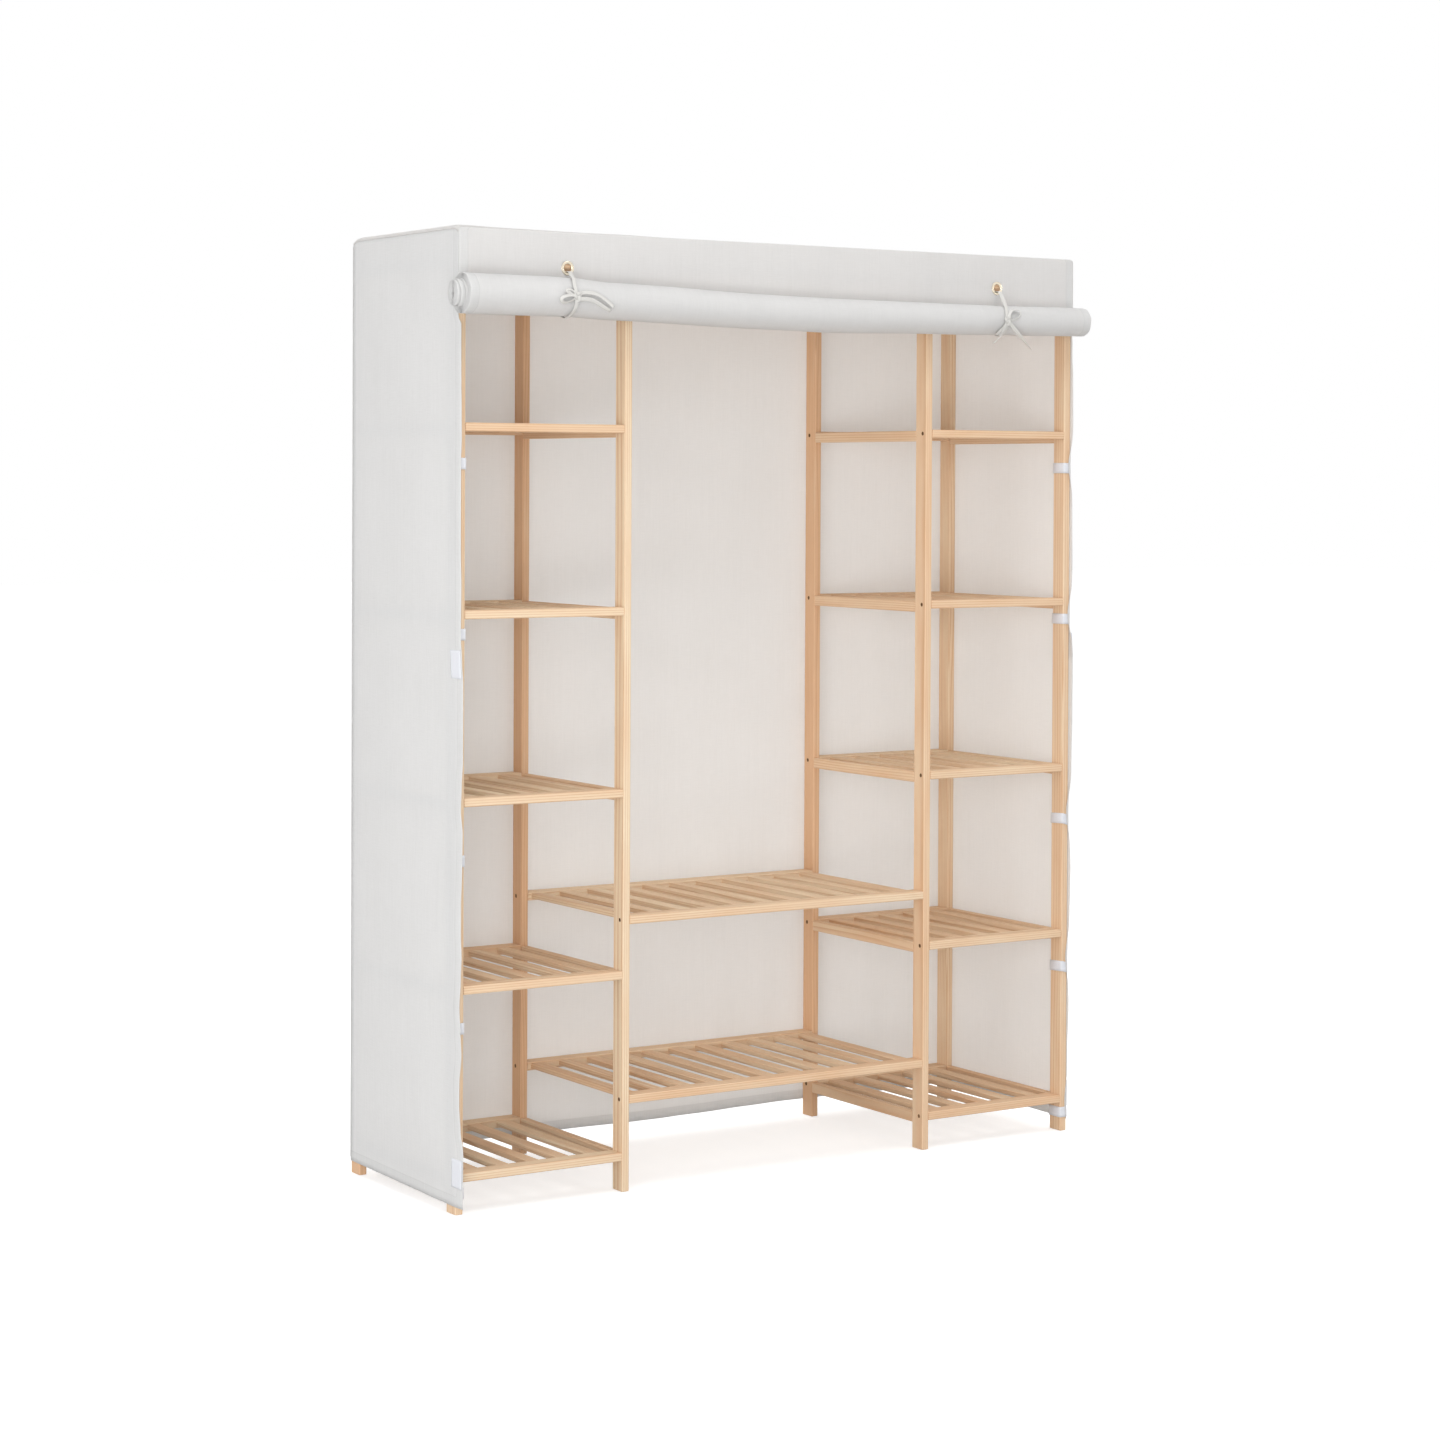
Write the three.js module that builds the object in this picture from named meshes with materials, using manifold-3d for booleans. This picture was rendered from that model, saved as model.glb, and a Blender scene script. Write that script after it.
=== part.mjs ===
// Portable wardrobe: a slatted pine frame under a fitted fabric cover whose door is rolled up and tied.
// Millimetres, +Z up, front at -Y. The origin is on the floor under the middle of the whole part.
import * as THREE from 'three';
import * as BufferGeometryUtils from 'three/addons/utils/BufferGeometryUtils.js';
import Module from 'manifold-3d';

const wasm = await Module();
wasm.setup();

// Driving dimensions of the frame
const frameWidth = 1350;
const frameDepth = 400;
const postHeight = 1697;
const battenThickness = 15;
const battenWidth = 33;
const endBayWidth = 320;
const seatGap = 0.3;
const arris = 1.5;
const postTopChamfer = 4.6;

// Shelves: heights are the undersides of the rails
const railHeight = 15;
const lowestShelfHeight = 55;
const topBayHeight = 287;
const endShelfCount = 5;
const lowestMiddleShelfHeight = 156;
const middleShelfPitch = 320;
const middleShelfCount = 2;
const topPanelDrop = 61;
const slatWidth = 25;
const slatThickness = 10;
const slatPitch = 61;
const slatRecess = 1.5;
const tenonLength = 8;
const tenonShoulder = 2;

// Rungs that tie each front post to its back post
const rungHeight = 20;
const rungDrop = 2;

// Countersunk holes for the screws that hold the rails
const screwHoleDiameter = 4.4;
const countersinkDiameter = 9;
const countersinkDepth = 2.4;
const screwInset = 12;
const screwHoleSides = 8;

// Hanging rod, between a rung of its own in each inner pair of posts
const rodDiameter = 20;
const rodDrop = 104;

// Fabric cover
const clothThickness = 1.2;
const topCornerRadius = 7;
const leftHemFront = 15;
const leftHemBack = 22;
const rightHemFront = 23;
const rightHemBack = 29;
const backHem = 29;
const sideBelly = 3;
const backBelly = 4;
const edgeAtDoor = 1.6;
const strapWidth = 20;
const foldReach = 8;
const foldStand = 3;
const foldHeight = 42;
const lowestStrapDrop = 18.5;
// How far each of the other straps is below the rail of the next shelf, as a share of the shelf pitch
const strapDropShares = [0.1787, 0.2869, 0.0804, 0.1728];

// Front edges of the side panels: shares of the post height, and how far the edge stands in front of the
// posts there, as shares of the batten width
const leftEdgeShares = [
  [0, 0.85], [0.055, 0.86], [0.08, 0.56], [0.11, 0.42], [0.135, 0.45], [0.156, 0.6], [0.18, 0.5],
  [0.205, 0.4], [0.24, 0.6], [0.28, 0.52], [0.33, 0.65], [0.375, 0.72], [0.41, 0.45], [0.435, 0.55],
  [0.46, 0.72], [0.535, 0.71], [0.565, 0.55], [0.585, 0.27], [0.635, 0.33], [0.665, 0.22], [0.76, 0.19],
  [0.785, 0.38], [0.81, 0.27], [0.84, 0.18], [0.885, 0.08], [1, 0.06],
];
const rightEdgeShares = [
  [0, 0.02], [0.08, 0.03], [0.14, 0.13], [0.185, 0.06], [0.23, 0.16], [0.29, 0.22], [0.345, 0.12],
  [0.4, 0.22], [0.48, 0.3], [0.54, 0.33], [0.59, 0.22], [0.65, 0.22], [0.73, 0.18], [0.8, 0.22],
  [0.865, 0.19], [0.89, 0.1], [1, 0.06],
];

// Door, rolled up and tied: it has slipped sideways a little, and its core sticks out at the left end
const doorStandOff = 2.9;
const rollOverhangLeft = 14;
const rollOverhangRight = 16;
const rollTelescope = 10;
const rollRadiusLeft = 35;
const rollRadiusRight = 27.5;
const rollDropLeft = 114.5;
const rollDropRight = 122;
const rollSag = 12;
const rollTurns = 3.5;
const rollPitch = 6;

// Eyelets and ties
const eyeletInset = 200;
const eyeletShift = 14;
const eyeletDrop = 61;
const eyeletHoleDiameter = 15;
const eyeletBarrel = 0.8;
const eyeletFlangeWidth = 4.4;
const eyeletFlangeThickness = 0.9;
const tieDiameter = 4.5;
const tieClearance = 0.9;
const knotShift = 27;

// Places that follow from the sizes above
const halfWidth = frameWidth / 2;
const innerPostEdge = halfWidth - battenThickness - endBayWidth - battenThickness;
const middleBayWidth = 2 * innerPostEdge;
const topPanelHeight = postHeight - topPanelDrop;
const shelfPitch = (topPanelHeight - topBayHeight - lowestShelfHeight) / (endShelfCount - 1);
const doorPlane = -doorStandOff;
const doorBack = doorPlane + clothThickness / 2;
const doorFront = doorPlane - clothThickness / 2;
const clothTop = postHeight + seatGap + clothThickness;
const sideInner = halfWidth + seatGap;
const sideOuter = sideInner + clothThickness;
const backInner = frameDepth + seatGap;
const backOuter = backInner + clothThickness;
const overrun = 1;

const pine = new THREE.MeshStandardMaterial({ color: 0xe6c79a, roughness: 0.6, metalness: 0 });
const cloth = new THREE.MeshStandardMaterial({ color: 0xe4e3e2, roughness: 0.95, metalness: 0 });
const brass = new THREE.MeshStandardMaterial({ color: 0xb58a54, roughness: 0.35, metalness: 1 });
const tape = new THREE.MeshStandardMaterial({ color: 0xeceae6, roughness: 0.9, metalness: 0 });

const wardrobe = new THREE.Group();

// Geometry to solid and back

function stripped(geometry) {
  const bare = geometry.clone();
  bare.deleteAttribute('normal');
  bare.deleteAttribute('uv');
  return BufferGeometryUtils.mergeVertices(bare);
}

function solidFrom(geometry) {
  const merged = stripped(geometry);
  return new wasm.Manifold(new wasm.Mesh({
    numProp: 3,
    vertProperties: new Float32Array(merged.attributes.position.array),
    triVerts: new Uint32Array(merged.index.array),
  }));
}

function geometryFrom(solid) {
  const mesh = solid.getMesh();
  const geometry = new THREE.BufferGeometry();
  const positions = new Float32Array(mesh.numProp * mesh.numVert);
  positions.set(mesh.vertProperties.subarray(0, positions.length));
  geometry.setAttribute('position', new THREE.BufferAttribute(positions, mesh.numProp));
  geometry.setIndex(new THREE.BufferAttribute(new Uint32Array(mesh.triVerts), 1));
  geometry.computeVertexNormals();
  return geometry;
}

function join(solids) {
  return solids.slice(1).reduce((whole, piece) => whole.add(piece), solids[0]);
}

function addPiece(name, geometry, material, place = [0, 0, 0]) {
  const mesh = new THREE.Mesh(geometry, material);
  mesh.name = name;
  mesh.position.set(...place);
  wardrobe.add(mesh);
}

// Battens: planed bars with eased edges, centred on their length

function planedOutline(width, height, ease) {
  const x = width / 2;
  const y = height / 2;
  return new THREE.Shape([
    new THREE.Vector2(-x + ease, -y), new THREE.Vector2(x - ease, -y),
    new THREE.Vector2(x, -y + ease), new THREE.Vector2(x, y - ease),
    new THREE.Vector2(x - ease, y), new THREE.Vector2(-x + ease, y),
    new THREE.Vector2(-x, y - ease), new THREE.Vector2(-x, -y + ease),
  ]);
}

function straightExtrusion(outline, length) {
  return new THREE.ExtrudeGeometry(outline, { depth: length, bevelEnabled: false, steps: 1 });
}

function battenAlongX(length, depth, height, ease) {
  const bar = straightExtrusion(planedOutline(height, depth, ease), length);
  return bar.translate(0, 0, -length / 2).rotateY(Math.PI / 2);
}

function battenAlongY(length, width, height, ease) {
  const bar = straightExtrusion(planedOutline(width, height, ease), length);
  return bar.translate(0, 0, -length / 2).rotateX(Math.PI / 2);
}

// Posts: eased at the top, with a countersunk hole at each rail end

function screwHole(side) {
  const depth = battenThickness + 2 * overrun;
  const holeRadius = screwHoleDiameter / 2;
  const headRadius = countersinkDiameter / 2;
  const face = battenThickness / 2;
  const grow = (headRadius - holeRadius) * overrun / countersinkDepth;
  const profile = [
    new THREE.Vector2(0, -depth / 2),
    new THREE.Vector2(holeRadius, -depth / 2),
    new THREE.Vector2(holeRadius, face - countersinkDepth),
    new THREE.Vector2(headRadius + grow, face + overrun),
    new THREE.Vector2(0, face + overrun),
  ];
  const drill = new THREE.LatheGeometry(profile, screwHoleSides);
  return drill.rotateZ(side > 0 ? -Math.PI / 2 : Math.PI / 2);
}

function postSolid(inward, holes) {
  const plan = straightExtrusion(planedOutline(battenThickness, battenWidth, arris), postHeight);
  const x = battenThickness / 2;
  const elevation = new THREE.Shape([
    new THREE.Vector2(-x - overrun, -overrun),
    new THREE.Vector2(x + overrun, -overrun),
    new THREE.Vector2(x + overrun, postHeight - postTopChamfer - overrun),
    new THREE.Vector2(x - postTopChamfer, postHeight),
    new THREE.Vector2(-x + postTopChamfer, postHeight),
    new THREE.Vector2(-x - overrun, postHeight - postTopChamfer - overrun),
  ]);
  const depth = battenWidth + 2 * overrun;
  const envelope = straightExtrusion(elevation, depth).rotateX(Math.PI / 2).translate(0, depth / 2, 0);
  let post = solidFrom(plan).intersect(solidFrom(envelope));
  const y = inward * (screwInset - battenWidth / 2);
  for (const hole of holes) {
    const drill = screwHole(hole.side).translate(0, y, hole.height + railHeight / 2);
    post = post.subtract(solidFrom(drill));
  }
  return post;
}

// Slatted panels: two rails across the bay, with slats tenoned between them

function panelSolid(bayWidth) {
  const length = bayWidth - 2 * seatGap;
  const railPlace = (frameDepth - battenWidth) / 2;
  const rails = [-1, 1].map((side) => {
    const rail = battenAlongX(length, battenWidth, railHeight, arris);
    return solidFrom(rail.translate(0, side * railPlace, railHeight / 2));
  });
  const opening = frameDepth - 2 * battenWidth;
  const count = 1 + Math.floor((bayWidth - slatWidth) / slatPitch);
  const slatMiddle = railHeight - slatRecess - slatThickness / 2;
  const bars = [];
  for (let i = 0; i < count; i += 1) {
    const x = (i - (count - 1) / 2) * slatPitch;
    const slat = battenAlongY(opening + 2 * arris, slatWidth, slatThickness, arris);
    const tenon = battenAlongY(
      opening + 2 * tenonLength, slatWidth - 2 * tenonShoulder, slatThickness - 2 * tenonShoulder, arris);
    bars.push(solidFrom(slat.translate(x, 0, slatMiddle)), solidFrom(tenon.translate(x, 0, slatMiddle)));
  }
  return join([...rails, ...bars]);
}

// The frame: four pairs of posts, their rungs and the slatted panels between them

const endLevels = Array.from({ length: endShelfCount }, (_, i) => lowestShelfHeight + i * shelfPitch);
const middleLevels = Array.from(
  { length: middleShelfCount }, (_, i) => lowestMiddleShelfHeight + i * middleShelfPitch);
const allEndLevels = [...endLevels, topPanelHeight];

// The end bays' top panels are screwed from the end posts and the middle one from the inner posts
const endHoles = (side) => allEndLevels.map((height) => ({ side, height }));
const innerHoles = (side) => [
  ...endLevels.map((height) => ({ side: -side, height })),
  ...[...middleLevels, topPanelHeight].map((height) => ({ side, height })),
];
const ladders = [
  { name: 'left_end', x: -halfWidth + battenThickness / 2, holes: endHoles(-1) },
  { name: 'left_inner', x: -innerPostEdge - battenThickness / 2, holes: innerHoles(-1) },
  { name: 'right_inner', x: innerPostEdge + battenThickness / 2, holes: innerHoles(1) },
  { name: 'right_end', x: halfWidth - battenThickness / 2, holes: endHoles(1) },
];

const rungLength = frameDepth - 2 * battenWidth - 2 * seatGap;
const rungMiddle = railHeight - rungDrop - rungHeight / 2;

for (const ladder of ladders) {
  const ends = [
    { end: 'front', y: battenWidth / 2, inward: 1 },
    { end: 'back', y: frameDepth - battenWidth / 2, inward: -1 },
  ];
  for (const { end, y, inward } of ends) {
    const post = postSolid(inward, ladder.holes);
    addPiece(`${ladder.name}_post_${end}`, geometryFrom(post), pine, [ladder.x, y, 0]);
  }
  allEndLevels.forEach((height, i) => {
    const rung = battenAlongY(rungLength, battenThickness, rungHeight, arris);
    addPiece(`${ladder.name}_rung_${i + 1}`, rung, pine, [ladder.x, frameDepth / 2, height + rungMiddle]);
  });
}

const endBayMiddle = halfWidth - battenThickness - endBayWidth / 2;
const bays = [
  { name: 'left', x: -endBayMiddle, width: endBayWidth, levels: endLevels },
  { name: 'middle', x: 0, width: middleBayWidth, levels: middleLevels },
  { name: 'right', x: endBayMiddle, width: endBayWidth, levels: endLevels },
];

for (const bay of bays) {
  const panel = geometryFrom(panelSolid(bay.width));
  bay.levels.forEach((height, i) => {
    addPiece(`${bay.name}_shelf_${i + 1}`, panel.clone(), pine, [bay.x, frameDepth / 2, height]);
  });
  addPiece(`${bay.name}_top_panel`, panel.clone(), pine, [bay.x, frameDepth / 2, topPanelHeight]);
}

// Hanging rod: a dowel screwed at each end to a rung between the inner posts

const rodHeight = postHeight - rodDrop;
for (const [side, name] of [[-1, 'left'], [1, 'right']]) {
  const x = side * (innerPostEdge + battenThickness / 2);
  const rung = battenAlongY(rungLength, battenThickness, rungHeight, arris);
  addPiece(`${name}_rod_rung`, rung, pine, [x, frameDepth / 2, rodHeight]);
}
const rodLength = middleBayWidth - 2 * seatGap;
const rod = new THREE.CylinderGeometry(rodDiameter / 2, rodDiameter / 2, rodLength, 24).rotateZ(Math.PI / 2);
addPiece('hanging_rod', rod, pine, [0, frameDepth / 2, rodHeight]);

// Cloth: rows of points on its inner face and on its outer face, closed along the four edges

function sheetGeometry(innerRows, outerRows) {
  const across = innerRows[0].length;
  const rows = innerRows.length - 1;
  const columns = across - 1;
  const layer = across * innerRows.length;
  const positions = [...innerRows, ...outerRows].flat(2);
  const index = [];
  const quad = (a, b, c, d) => index.push(a, b, c, a, c, d);
  const at = (side, i, j) => side * layer + j * across + i;
  for (let j = 0; j < rows; j += 1) {
    for (let i = 0; i < columns; i += 1) {
      quad(at(0, i, j), at(0, i, j + 1), at(0, i + 1, j + 1), at(0, i + 1, j));
      quad(at(1, i, j), at(1, i + 1, j), at(1, i + 1, j + 1), at(1, i, j + 1));
    }
  }
  for (let i = 0; i < columns; i += 1) {
    quad(at(0, i, 0), at(0, i + 1, 0), at(1, i + 1, 0), at(1, i, 0));
    quad(at(0, i + 1, rows), at(0, i, rows), at(1, i, rows), at(1, i + 1, rows));
  }
  for (let j = 0; j < rows; j += 1) {
    quad(at(0, 0, j + 1), at(0, 0, j), at(1, 0, j), at(1, 0, j + 1));
    quad(at(0, columns, j), at(0, columns, j + 1), at(1, columns, j + 1), at(1, columns, j));
  }
  const geometry = new THREE.BufferGeometry();
  geometry.setAttribute('position', new THREE.BufferAttribute(new Float32Array(positions), 3));
  geometry.setIndex(index);
  return geometry;
}

function mirroredInX(geometry) {
  const flipped = geometry.clone().scale(-1, 1, 1);
  const index = flipped.index.array;
  for (let i = 0; i < index.length; i += 3) {
    [index[i], index[i + 1]] = [index[i + 1], index[i]];
  }
  return flipped;
}

function tableAt(table, share) {
  const next = Math.max(1, table.findIndex(([stop]) => stop >= share));
  const [low, from] = table[next - 1];
  const [high, to] = table[next];
  const t = (share - low) / (high - low);
  const eased = t * t * (3 - 2 * t);
  return from + (to - from) * eased;
}

// Side panels: they hang straight behind the front post, and their front edge is drawn in at the straps

const strapHeights = [
  lowestShelfHeight - lowestStrapDrop,
  ...strapDropShares.map((share, i) => lowestShelfHeight + (i + 1 - share) * shelfPitch),
];
const sideTop = clothTop - topCornerRadius - seatGap;
const rollUnderside = postHeight - rollDropLeft - rollSag - rollRadiusLeft;

function edgeStand(edgeShares, z) {
  const stand = battenWidth * tableAt(edgeShares, z / postHeight);
  return Math.min(stand, Math.max(edgeAtDoor, edgeAtDoor + rollUnderside - z));
}

function strapPull(z) {
  return strapHeights.reduce((most, height) => {
    const away = (z - height) / foldHeight;
    return Math.max(most, Math.exp(-away * away));
  }, 0);
}

// One row of the panel in plan, from the front edge to the back corner. Where a strap pulls, the edge is
// folded in across the front of the post.

function sideRow(z, t, edgeShares, fold) {
  const pull = fold * strapPull(z);
  const stand = edgeStand(edgeShares, z);
  const corner = Math.max(stand * (1 + pull) / 2, pull * foldStand);
  const edge = stand + (foldStand - stand) * pull;
  const behindPost = 2 * battenWidth;
  const line = [[sideInner - pull * foldReach, -edge - seatGap], [sideInner, -corner]];
  line.push([sideInner, battenWidth / 2], [sideInner, battenWidth + seatGap + clothThickness]);
  const steps = 5;
  for (let i = 0; i <= steps; i += 1) {
    const share = i / steps;
    const swell = Math.sin(Math.PI * share) ** 2 * (2 + Math.sin(3 * Math.PI * t)) / 3;
    line.push([sideInner + sideBelly * swell, behindPost + (frameDepth - behindPost) * share]);
  }
  return line;
}

function offsetRow(line) {
  const normals = line.slice(1).map(([x, y], i) => {
    const along = new THREE.Vector2(x - line[i][0], y - line[i][1]).normalize();
    return new THREE.Vector2(along.y, -along.x);
  });
  return line.map(([x, y], i) => {
    const before = normals[Math.max(0, i - 1)];
    const after = normals[Math.min(normals.length - 1, i)];
    const scale = clothThickness / (1 + before.dot(after));
    return [x + (before.x + after.x) * scale, y + (before.y + after.y) * scale];
  });
}

function sidePanel(edgeShares, fold, hemFront, hemBack) {
  const levels = [];
  const stops = [0, ...strapHeights, rollUnderside, sideTop];
  for (let k = 1; k < stops.length; k += 1) {
    const gap = stops[k] - stops[k - 1];
    const count = Math.max(1, Math.round(gap / foldHeight));
    for (let i = 0; i < count; i += 1) levels.push(stops[k - 1] + gap * i / count);
  }
  levels.push(sideTop);
  const inner = [];
  const outer = [];
  for (const level of levels) {
    const t = level / sideTop;
    const line = sideRow(level, t, edgeShares, fold);
    const cover = offsetRow(line);
    const lift = (y) => {
      const share = THREE.MathUtils.clamp(y / frameDepth, 0, 1);
      const hem = hemFront + (hemBack - hemFront) * share;
      return hem + (sideTop - hem) * t;
    };
    inner.push(line.map(([x, y]) => [x, y, lift(y)]));
    outer.push(cover.map(([x, y], i) => [x, y, lift(line[i][1])]));
  }
  const panel = solidFrom(sheetGeometry(inner, outer));
  return join([panel, ...strapHeights.map((height) => strapSolid(height))]);
}

// A strap leaves the panel in front of the post, goes round it and joins the panel behind it

function strapSolid(height) {
  const inside = halfWidth - battenThickness - seatGap;
  const sewn = sideInner + clothThickness / 2;
  const front = -seatGap;
  const back = battenWidth + seatGap;
  const outline = new THREE.Shape([
    new THREE.Vector2(sewn, front - clothThickness),
    new THREE.Vector2(sewn, front),
    new THREE.Vector2(inside, front),
    new THREE.Vector2(inside, back),
    new THREE.Vector2(sewn, back),
    new THREE.Vector2(sewn, back + clothThickness),
    new THREE.Vector2(inside - clothThickness, back + clothThickness),
    new THREE.Vector2(inside - clothThickness, front - clothThickness),
  ]);
  const strap = straightExtrusion(outline, strapWidth);
  return solidFrom(strap.translate(0, 0, height - strapWidth / 2));
}

const rightSide = geometryFrom(sidePanel(rightEdgeShares, 1, rightHemFront, rightHemBack));
addPiece('cover_right_side', rightSide, cloth);
const leftSide = geometryFrom(sidePanel(leftEdgeShares, 0, leftHemFront, leftHemBack));
addPiece('cover_left_side', mirroredInX(leftSide), cloth);

// Back panel: held flat at the posts, it bellies out between them

function backPanel() {
  const columns = 24;
  const rows = 10;
  const inner = [];
  const outer = [];
  const straightTop = clothTop - topCornerRadius;
  const levels = Array.from({ length: rows + 1 }, (_, j) => [backHem + (straightTop - backHem) * j / rows, 0]);
  const cut = topCornerRadius * (1 - Math.SQRT1_2);
  levels.push([clothTop - cut, cut], [clothTop, topCornerRadius]);
  for (const [height, narrowing] of levels) {
    const t = height / clothTop;
    const row = [];
    for (let i = 0; i <= columns; i += 1) {
      const s = 1 - 2 * i / columns;
      const wave = Math.sin(3 * Math.PI * s) ** 2 * (1 - t ** 2);
      row.push([(sideOuter - narrowing) * s, backInner + backBelly * wave, height]);
    }
    inner.push(row);
    outer.push(row.map(([x, y, z]) => [x, y + clothThickness, z]));
  }
  return sheetGeometry(inner, outer);
}
addPiece('cover_back', backPanel(), cloth);

// Top panel: turned down over both ends with a soft corner

function topPanel() {
  const outer = topCornerRadius;
  const inner = topCornerRadius - clothThickness;
  const cornerX = sideOuter - outer;
  const cornerZ = clothTop - outer;
  const outline = new THREE.Shape();
  outline.moveTo(cornerX + outer, cornerZ);
  outline.absarc(cornerX, cornerZ, outer, 0, Math.PI / 2, false);
  outline.absarc(-cornerX, cornerZ, outer, Math.PI / 2, Math.PI, false);
  outline.lineTo(-cornerX - inner, cornerZ);
  outline.absarc(-cornerX, cornerZ, inner, Math.PI, Math.PI / 2, true);
  outline.absarc(cornerX, cornerZ, inner, Math.PI / 2, 0, true);
  outline.closePath();
  const depth = frameDepth - doorBack - 2 * seatGap;
  const sheet = new THREE.ExtrudeGeometry(outline, { depth, bevelEnabled: false, curveSegments: 5 });
  return sheet.rotateX(Math.PI / 2).translate(0, frameDepth, 0);
}
addPiece('cover_top', topPanel(), cloth);

// Door: one sheet that hangs from the top edge and winds up into a spiral roll

const rollEndLeft = -sideOuter - rollOverhangLeft;
const rollEndRight = sideOuter + rollOverhangRight;
const stepsPerTurn = 12;

function rollAt(share) {
  const radius = rollRadiusLeft + (rollRadiusRight - rollRadiusLeft) * share;
  const slope = rollDropLeft + (rollDropRight - rollDropLeft) * share;
  const drop = slope + rollSag * 4 * share * (1 - share);
  return { radius, y: doorBack - radius - rollPitch / 2, z: postHeight - drop };
}

// The distance from the middle of the roll to its surface after some turns, from the back and downwards
function rollReach(radius, turns) {
  return radius + rollPitch * (1 / 2 - turns);
}

function doorSection(share) {
  const { radius, y, z } = rollAt(share);
  const cut = topCornerRadius * (1 - Math.SQRT1_2);
  const flat = [
    [topCornerRadius, clothTop], [cut, clothTop - cut], [0, clothTop - topCornerRadius],
    [0, (clothTop + z) / 2], [0, z + radius],
  ];
  const line = flat.map(([narrowing, height]) => (
    { x: (sideOuter - narrowing) * (2 * share - 1), y: doorPlane, z: height, ny: 1, nz: 0 }));
  const steps = Math.round(rollTurns * stepsPerTurn);
  for (let i = 0; i <= steps; i += 1) {
    const angle = -2 * Math.PI * i / stepsPerTurn;
    const r = rollReach(radius, i / stepsPerTurn) - clothThickness / 2;
    const slip = rollTelescope * (1 - share) * i / steps;
    line.push({
      x: rollEndLeft + (rollEndRight - rollEndLeft) * share - slip,
      y: y + r * Math.cos(angle), z: z + r * Math.sin(angle),
      ny: Math.cos(angle), nz: Math.sin(angle), r,
    });
  }
  return line;
}

function doorGeometry() {
  const stations = 10;
  const inner = [];
  const outer = [];
  for (let k = 0; k <= stations; k += 1) {
    const line = doorSection(k / stations);
    const face = (side) => line.map((point) => {
      const offset = side * clothThickness / 2;
      return [point.x, point.y + offset * point.ny, point.z + offset * point.nz];
    });
    inner.push(face(1));
    outer.push(face(-1));
  }
  return sheetGeometry(inner, outer);
}

// The gap between neighbouring turns of the roll, measured at the points of the section

function leastTurnGap() {
  const gaps = [0, 1 / 2, 1].map((share) => {
    const turn = doorSection(share).filter((point) => point.r > 0);
    const distances = turn.slice(stepsPerTurn).map((point, i) => (
      Math.hypot(point.y - turn[i].y, point.z - turn[i].z)));
    return Math.min(...distances) - clothThickness;
  });
  return Math.min(...gaps);
}
console.log(`least gap between turns of the roll: ${leastTurnGap().toFixed(2)} mm`);

// Eyelets: brass rings clamped round holes in the hanging strip of the door

const eyelets = [
  { name: 'left', x: eyeletShift + eyeletInset - halfWidth },
  { name: 'right', x: eyeletShift - eyeletInset + halfWidth },
];
const eyeletHeight = postHeight - eyeletDrop;
const eyeletRadius = eyeletHoleDiameter / 2;
const eyeletSides = 20;

function eyeletGeometry() {
  const half = clothThickness / 2 + seatGap;
  const outside = half + eyeletFlangeThickness;
  const barrel = eyeletRadius + eyeletBarrel;
  const rim = eyeletRadius + eyeletBarrel + eyeletFlangeWidth;
  const profile = [
    new THREE.Vector2(eyeletRadius, -outside),
    new THREE.Vector2(rim - eyeletFlangeThickness, -outside),
    new THREE.Vector2(rim, -half),
    new THREE.Vector2(barrel, -half),
    new THREE.Vector2(barrel, half),
    new THREE.Vector2(rim, half),
    new THREE.Vector2(rim - eyeletFlangeThickness, outside),
    new THREE.Vector2(eyeletRadius, outside),
    new THREE.Vector2(eyeletRadius, -outside),
  ];
  return stripped(new THREE.LatheGeometry(profile, eyeletSides));
}

let door = solidFrom(doorGeometry());
const cutRadius = eyeletRadius + eyeletBarrel + seatGap;
for (const eyelet of eyelets) {
  const depth = clothThickness + 2 * overrun;
  const cutter = new THREE.CylinderGeometry(cutRadius, cutRadius, depth, eyeletSides);
  door = door.subtract(solidFrom(cutter.translate(eyelet.x, doorPlane, eyeletHeight)));
}
addPiece('door_curtain', geometryFrom(door), cloth);
for (const eyelet of eyelets) {
  addPiece(`${eyelet.name}_eyelet`, eyeletGeometry(), brass, [eyelet.x, doorPlane, eyeletHeight]);
}

// Ties: from one tail up the front of the roll, through the eyelet, down behind the strip, under the roll
// and up its front again to the other tail. Tail points are measured from the knot, to the side and up, and
// settle is the angle on the roll where the first strand ends and its tail begins.

const tieTails = {
  left: {
    settle: 160,
    first: [[12, 14], [29, 15], [46, 12], [62, 4], [80, -9]],
    second: [[7, 1], [24, 3], [42, -1], [58, -9], [72, -16]],
  },
  right: {
    settle: 172,
    first: [[11, -5], [23, -13], [36, -25], [50, -38], [64, -51]],
    second: [[-6, 0], [-12, -13], [-19, -26], [-26, -37]],
  },
};

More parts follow.
